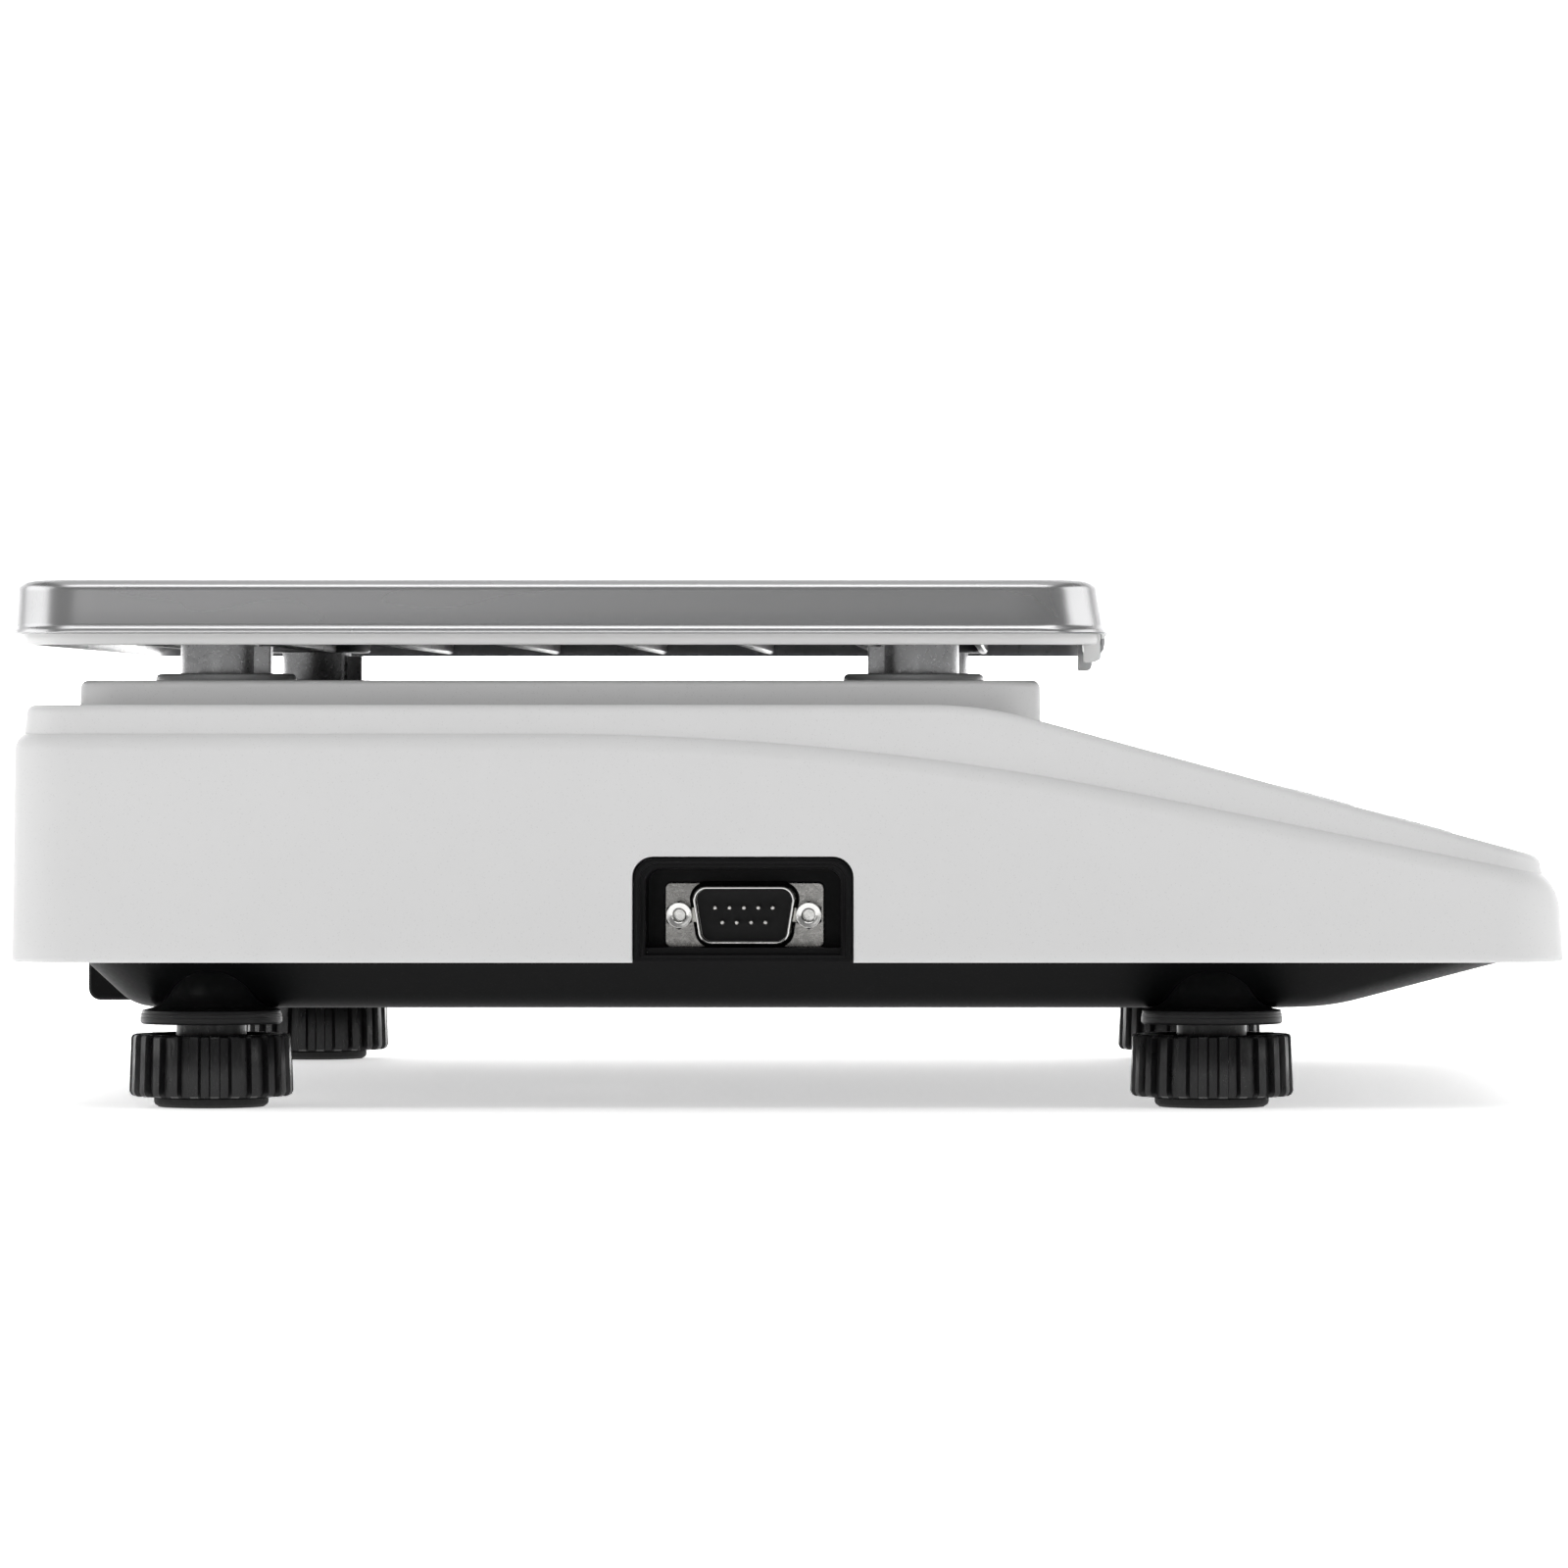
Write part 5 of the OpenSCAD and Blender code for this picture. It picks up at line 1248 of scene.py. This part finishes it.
# %% [markdown]
# ## Mains inlet and switch
# The bay at the back holds a three-pin inlet and a rocker switch. The inlet's plate has rounded corners
# and a deep recess with two cut corners, and the rocker is a pad whose two halves meet in a shallow V.

# %% Inlet
bay_mid_z = (BAY_TOP + BAY_FLOOR) / 2 + 0.6
INLET_X, SWITCH_X = -28.0, 30.0


def bay_rings_of(outline, stations, x):
    """Rings of an outline at (shrink, distance behind the bay's panel) stations."""
    return [along_y(outline(t) + np.array([x, bay_mid_z]), bay_front + out) for t, out in stations]


def inlet_hole(shrink):
    """The inlet's recess: a rectangle with its two lower corners cut off."""
    w, top, low, cut_at = 12.2 - shrink, 8.2 - shrink, -8.2 + shrink, -4.2
    corners = [(w, cut_at), (w, top), (-w, top), (-w, cut_at), (-w + 4, low), (w - 4, low)]
    return np.array(corners)


def blade(dx, dz):
    """A blade of the inlet: a rounded bar, whose free end narrows in two steps."""
    stations = [(0, -17.9), (0, -3.2), (0.25, -2.6), (0.55, -2.3)]
    return loft("blade", bay_rings_of(lambda t: rounded(1.0 - t, 2.0 - t, 0.3, 3) + np.array([dx, dz]),
                                      stations, INLET_X))


inlet_rim = [(0, 0.02), (0, 1.7), (0.15, 2.0), (0.5, 2.2)]
inlet_body = loft("inlet", bay_rings_of(lambda t: rounded(15.4 - t, 12 - t, 2.4, 6), inlet_rim, INLET_X))
inlet_back = loft("inlet_back", bay_rings_of(lambda t: rounded(13.5, 10, 1.2, 6), [(0, -22), (0, 1)], INLET_X))
inlet_mesh = cut(inlet_body, inlet_back, how="UNION")
inlet_mesh = cut(inlet_mesh, loft("hole", bay_rings_of(inlet_hole, [(0, -14.8), (0, 3)], INLET_X)))
place("inlet_body", inlet_mesh, "chassis", switch_pbt, ["power_inlet"])
blades = [blade(dx, dz) for dx, dz in ((-7, -2), (0, 2), (7, -2))]
place("inlet_blades", joined("blades", blades), "chassis", bright_zinc, ["inlet_pins"])

print("inlet:", len(blades), "blades")

# %% [markdown]
# The rocker is a grid. Its height out of the frame grows with the distance from the middle to the power
# 1.3, which makes the shallow V, and it falls off a little towards both sides.

# %% Rocker switch
bezel_rim = [(0, 0.02), (0, 1.1), (0.15, 1.35), (0.5, 1.5)]
bezel = loft("bezel", bay_rings_of(lambda t: rounded(8.5 - t, 11.5 - t, 1.6, 5), bezel_rim, SWITCH_X))
bezel_back = loft("bezel_back", bay_rings_of(lambda t: rounded(6.5, 9.5, 0.8, 5), [(0, -12), (0, 1)],
                                             SWITCH_X))
bezel_hole = loft("hole", bay_rings_of(lambda t: rounded(5, 8.9, 0.5, 5), [(0, -7), (0, 3)], SWITCH_X))
bezel_mesh = cut(cut(bezel, bezel_back, how="UNION"), bezel_hole)
place("switch_bezel", bezel_mesh, "chassis", switch_pbt, ["rocker_frame"])
TILT = math.radians(10)
PIVOT_Y = bay_front - 1.5
ROCKER_HALF, ROWS, COLUMNS = (4.7, 7.7), 23, 9
z_steps = np.linspace(-ROCKER_HALF[1], ROCKER_HALF[1], ROWS)
v_face = 2.6 + 1.2 * (np.abs(z_steps) / ROCKER_HALF[1]) ** 1.3
x_steps = np.linspace(-ROCKER_HALF[0], ROCKER_HALF[0], COLUMNS)
crown = 1 - 0.25 * (np.abs(x_steps) / ROCKER_HALF[0]) ** 4
face = np.stack([np.repeat(x_steps[None], ROWS, 0), v_face[:, None] * crown[None, :],
                 np.repeat(z_steps[:, None], COLUMNS, 1)], -1)
foot_grid = face.copy()
foot_grid[..., 1] = -2.0
rocker_ring = np.stack([border(foot_grid), border(face)])
points = np.concatenate([rocker_ring.reshape(-1, 3), foot_grid.reshape(-1, 3), face.reshape(-1, 3)])
edge_count = rocker_ring.shape[1]
lid_faces = grid_faces(ROWS, COLUMNS)
turn = np.array([[1, 0, 0], [0, math.cos(TILT), -math.sin(TILT)], [0, math.sin(TILT), math.cos(TILT)]])
points = points @ turn.T + np.array([SWITCH_X, PIVOT_Y, bay_mid_z])
sides = grid_faces(2, edge_count, closed=True)
foot_faces = lid_faces[:, ::-1] + 2 * edge_count
face_faces = lid_faces + 2 * edge_count + ROWS * COLUMNS
rocker_mesh = new_mesh("rocker", points, [sides, foot_faces, face_faces])
place("rocker_pad", rocker_mesh, "power_rocker", switch_pbt, ["rocker"])
print("bay fitted")

# %% [markdown]
# ## Finishes for the parts kept from the frame
# The parts inside the scale, the screws and the studs already have the right shape, so they keep it and
# only take a finish.

# %% Finishes for kept parts
kept = {plated_frame: ["spider", "cell_mount"], milled_aluminium: ["load_cell"],
        bright_zinc: ["cell_screws", "spider_screws", "case_screws"] + [f"foot_stud_{c}" for c in feet],
        turned_brass: ["overload_stops", "foot_nuts"], battery_abs: ["battery"],
        varnished_iron: ["transformer"], solder_mask: ["main_board", "display_board"],
        switch_pbt: ["key_switches"], wire_pvc: ["wiring"]}
for material, names in kept.items():
    for name in names:
        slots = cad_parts[name].data.materials
        slots.clear()
        slots.append(material)
print("kept from the frame:", sum(len(n) for n in kept.values()))

# %% [markdown]
# ## Floor and backdrop
# The floor and the wall behind it are one pale sheet, swept up in a wide curve, as in a studio. They are
# staging, not part of the scale.

# %% Sweep
SWEEP_R, SWEEP_X = 1200.0, 1500.0
bend = np.linspace(0.05, np.pi / 2, 24)
path_x = np.concatenate([[-6000, SWEEP_X], SWEEP_X + SWEEP_R * np.sin(bend), [SWEEP_X + SWEEP_R]])
path_z = np.concatenate([[0, 0], SWEEP_R * (1 - np.cos(bend)), [6000]])
path_y = np.linspace(-5000, 5000, 5)
sweep_points = np.stack([np.repeat(path_x[:, None], 5, 1), np.repeat(path_y[None], len(path_x), 0),
                         np.repeat(path_z[:, None], 5, 1)], axis=-1).reshape(-1, 3)
sweep_mesh = new_mesh("sweep", sweep_points, [grid_faces(len(path_x), 5)])
sweep_paper = finish("sweep_paper", (0.93, 0.93, 0.93), rough=0.9, grain=40, drift=0.005, bump=0.0,
                     Emission_Color=(1, 1, 1, 1), Emission_Strength=0.55)
sweep_mesh.materials.append(sweep_paper)
sweep_mesh.polygons.foreach_set("use_smooth", np.ones(len(sweep_mesh.polygons), bool))
backdrop = bpy.data.objects.new("backdrop", sweep_mesh)
bpy.context.scene.collection.objects.link(backdrop)
print("sweep:", len(path_x), "stations along its path")

# %% [markdown]
# ## Light
# Soft light comes from a broad panel above, one at each end of the scale, a strip on the camera's side and
# a weak fill at the rear. One more panel lights only the wall behind. The room is a mid grey, so polished
# steel has something darker to reflect.


# %% Lights
def panel_light(name, at, towards, size, power):
    """A rectangular soft light that faces a point: tipped by the angle to straight down, then turned."""
    data = bpy.data.lights.new(name, "AREA")
    data.shape = "RECTANGLE"
    data.size, data.size_y = size
    data.energy = power
    lamp = bpy.data.objects.new(name, data)
    lamp.location = at
    way = np.array(towards, float) - np.array(at, float)
    tip = math.acos(-way[2] / np.linalg.norm(way))
    lamp.rotation_euler = (tip, 0, math.atan2(way[1], way[0]) - math.pi / 2)
    lamp.visible_camera = False
    bpy.context.scene.collection.objects.link(lamp)
    return lamp


panel_light("top", (0, 0, 1.6), (0, 0, 0), (2.0, 2.0), 6)
panel_light("rear_end", (-0.2, 1.4, 0.55), (0, 0.1, 0.1), (1.4, 0.7), 5.5)
panel_light("front_end", (-0.2, -1.4, 0.55), (0, -0.1, 0.1), (1.4, 0.7), 5)
panel_light("camera_side", (-1.5, 0.0, 1.8), (0, 0, 0.05), (2.2, 0.6), 11)
panel_light("rear_fill", (-2.3, 0.45, 0.42), (-0.15, 0.1, 0.1), (0.5, 0.5), 0.5)
panel_light("behind", (1.6, 0, 1.2), (2.6, 0, 0.4), (3.0, 1.5), 110)
world = bpy.data.worlds.new("studio")
world.use_nodes = True
world.node_tree.nodes["Background"].inputs["Color"].default_value = (0.5, 0.5, 0.5, 1)
world.node_tree.nodes["Background"].inputs["Strength"].default_value = 0.48
bpy.context.scene.world = world
bpy.context.scene.view_settings.view_transform = "Standard"
print("lights:", len(bpy.data.lights))

# %% [markdown]
# ## Finish
# The last cell prints how many pieces were made and how many faces they have.

# %% Pieces and faces
print("pieces made:", len(made), "faces:", sum(made.values()))
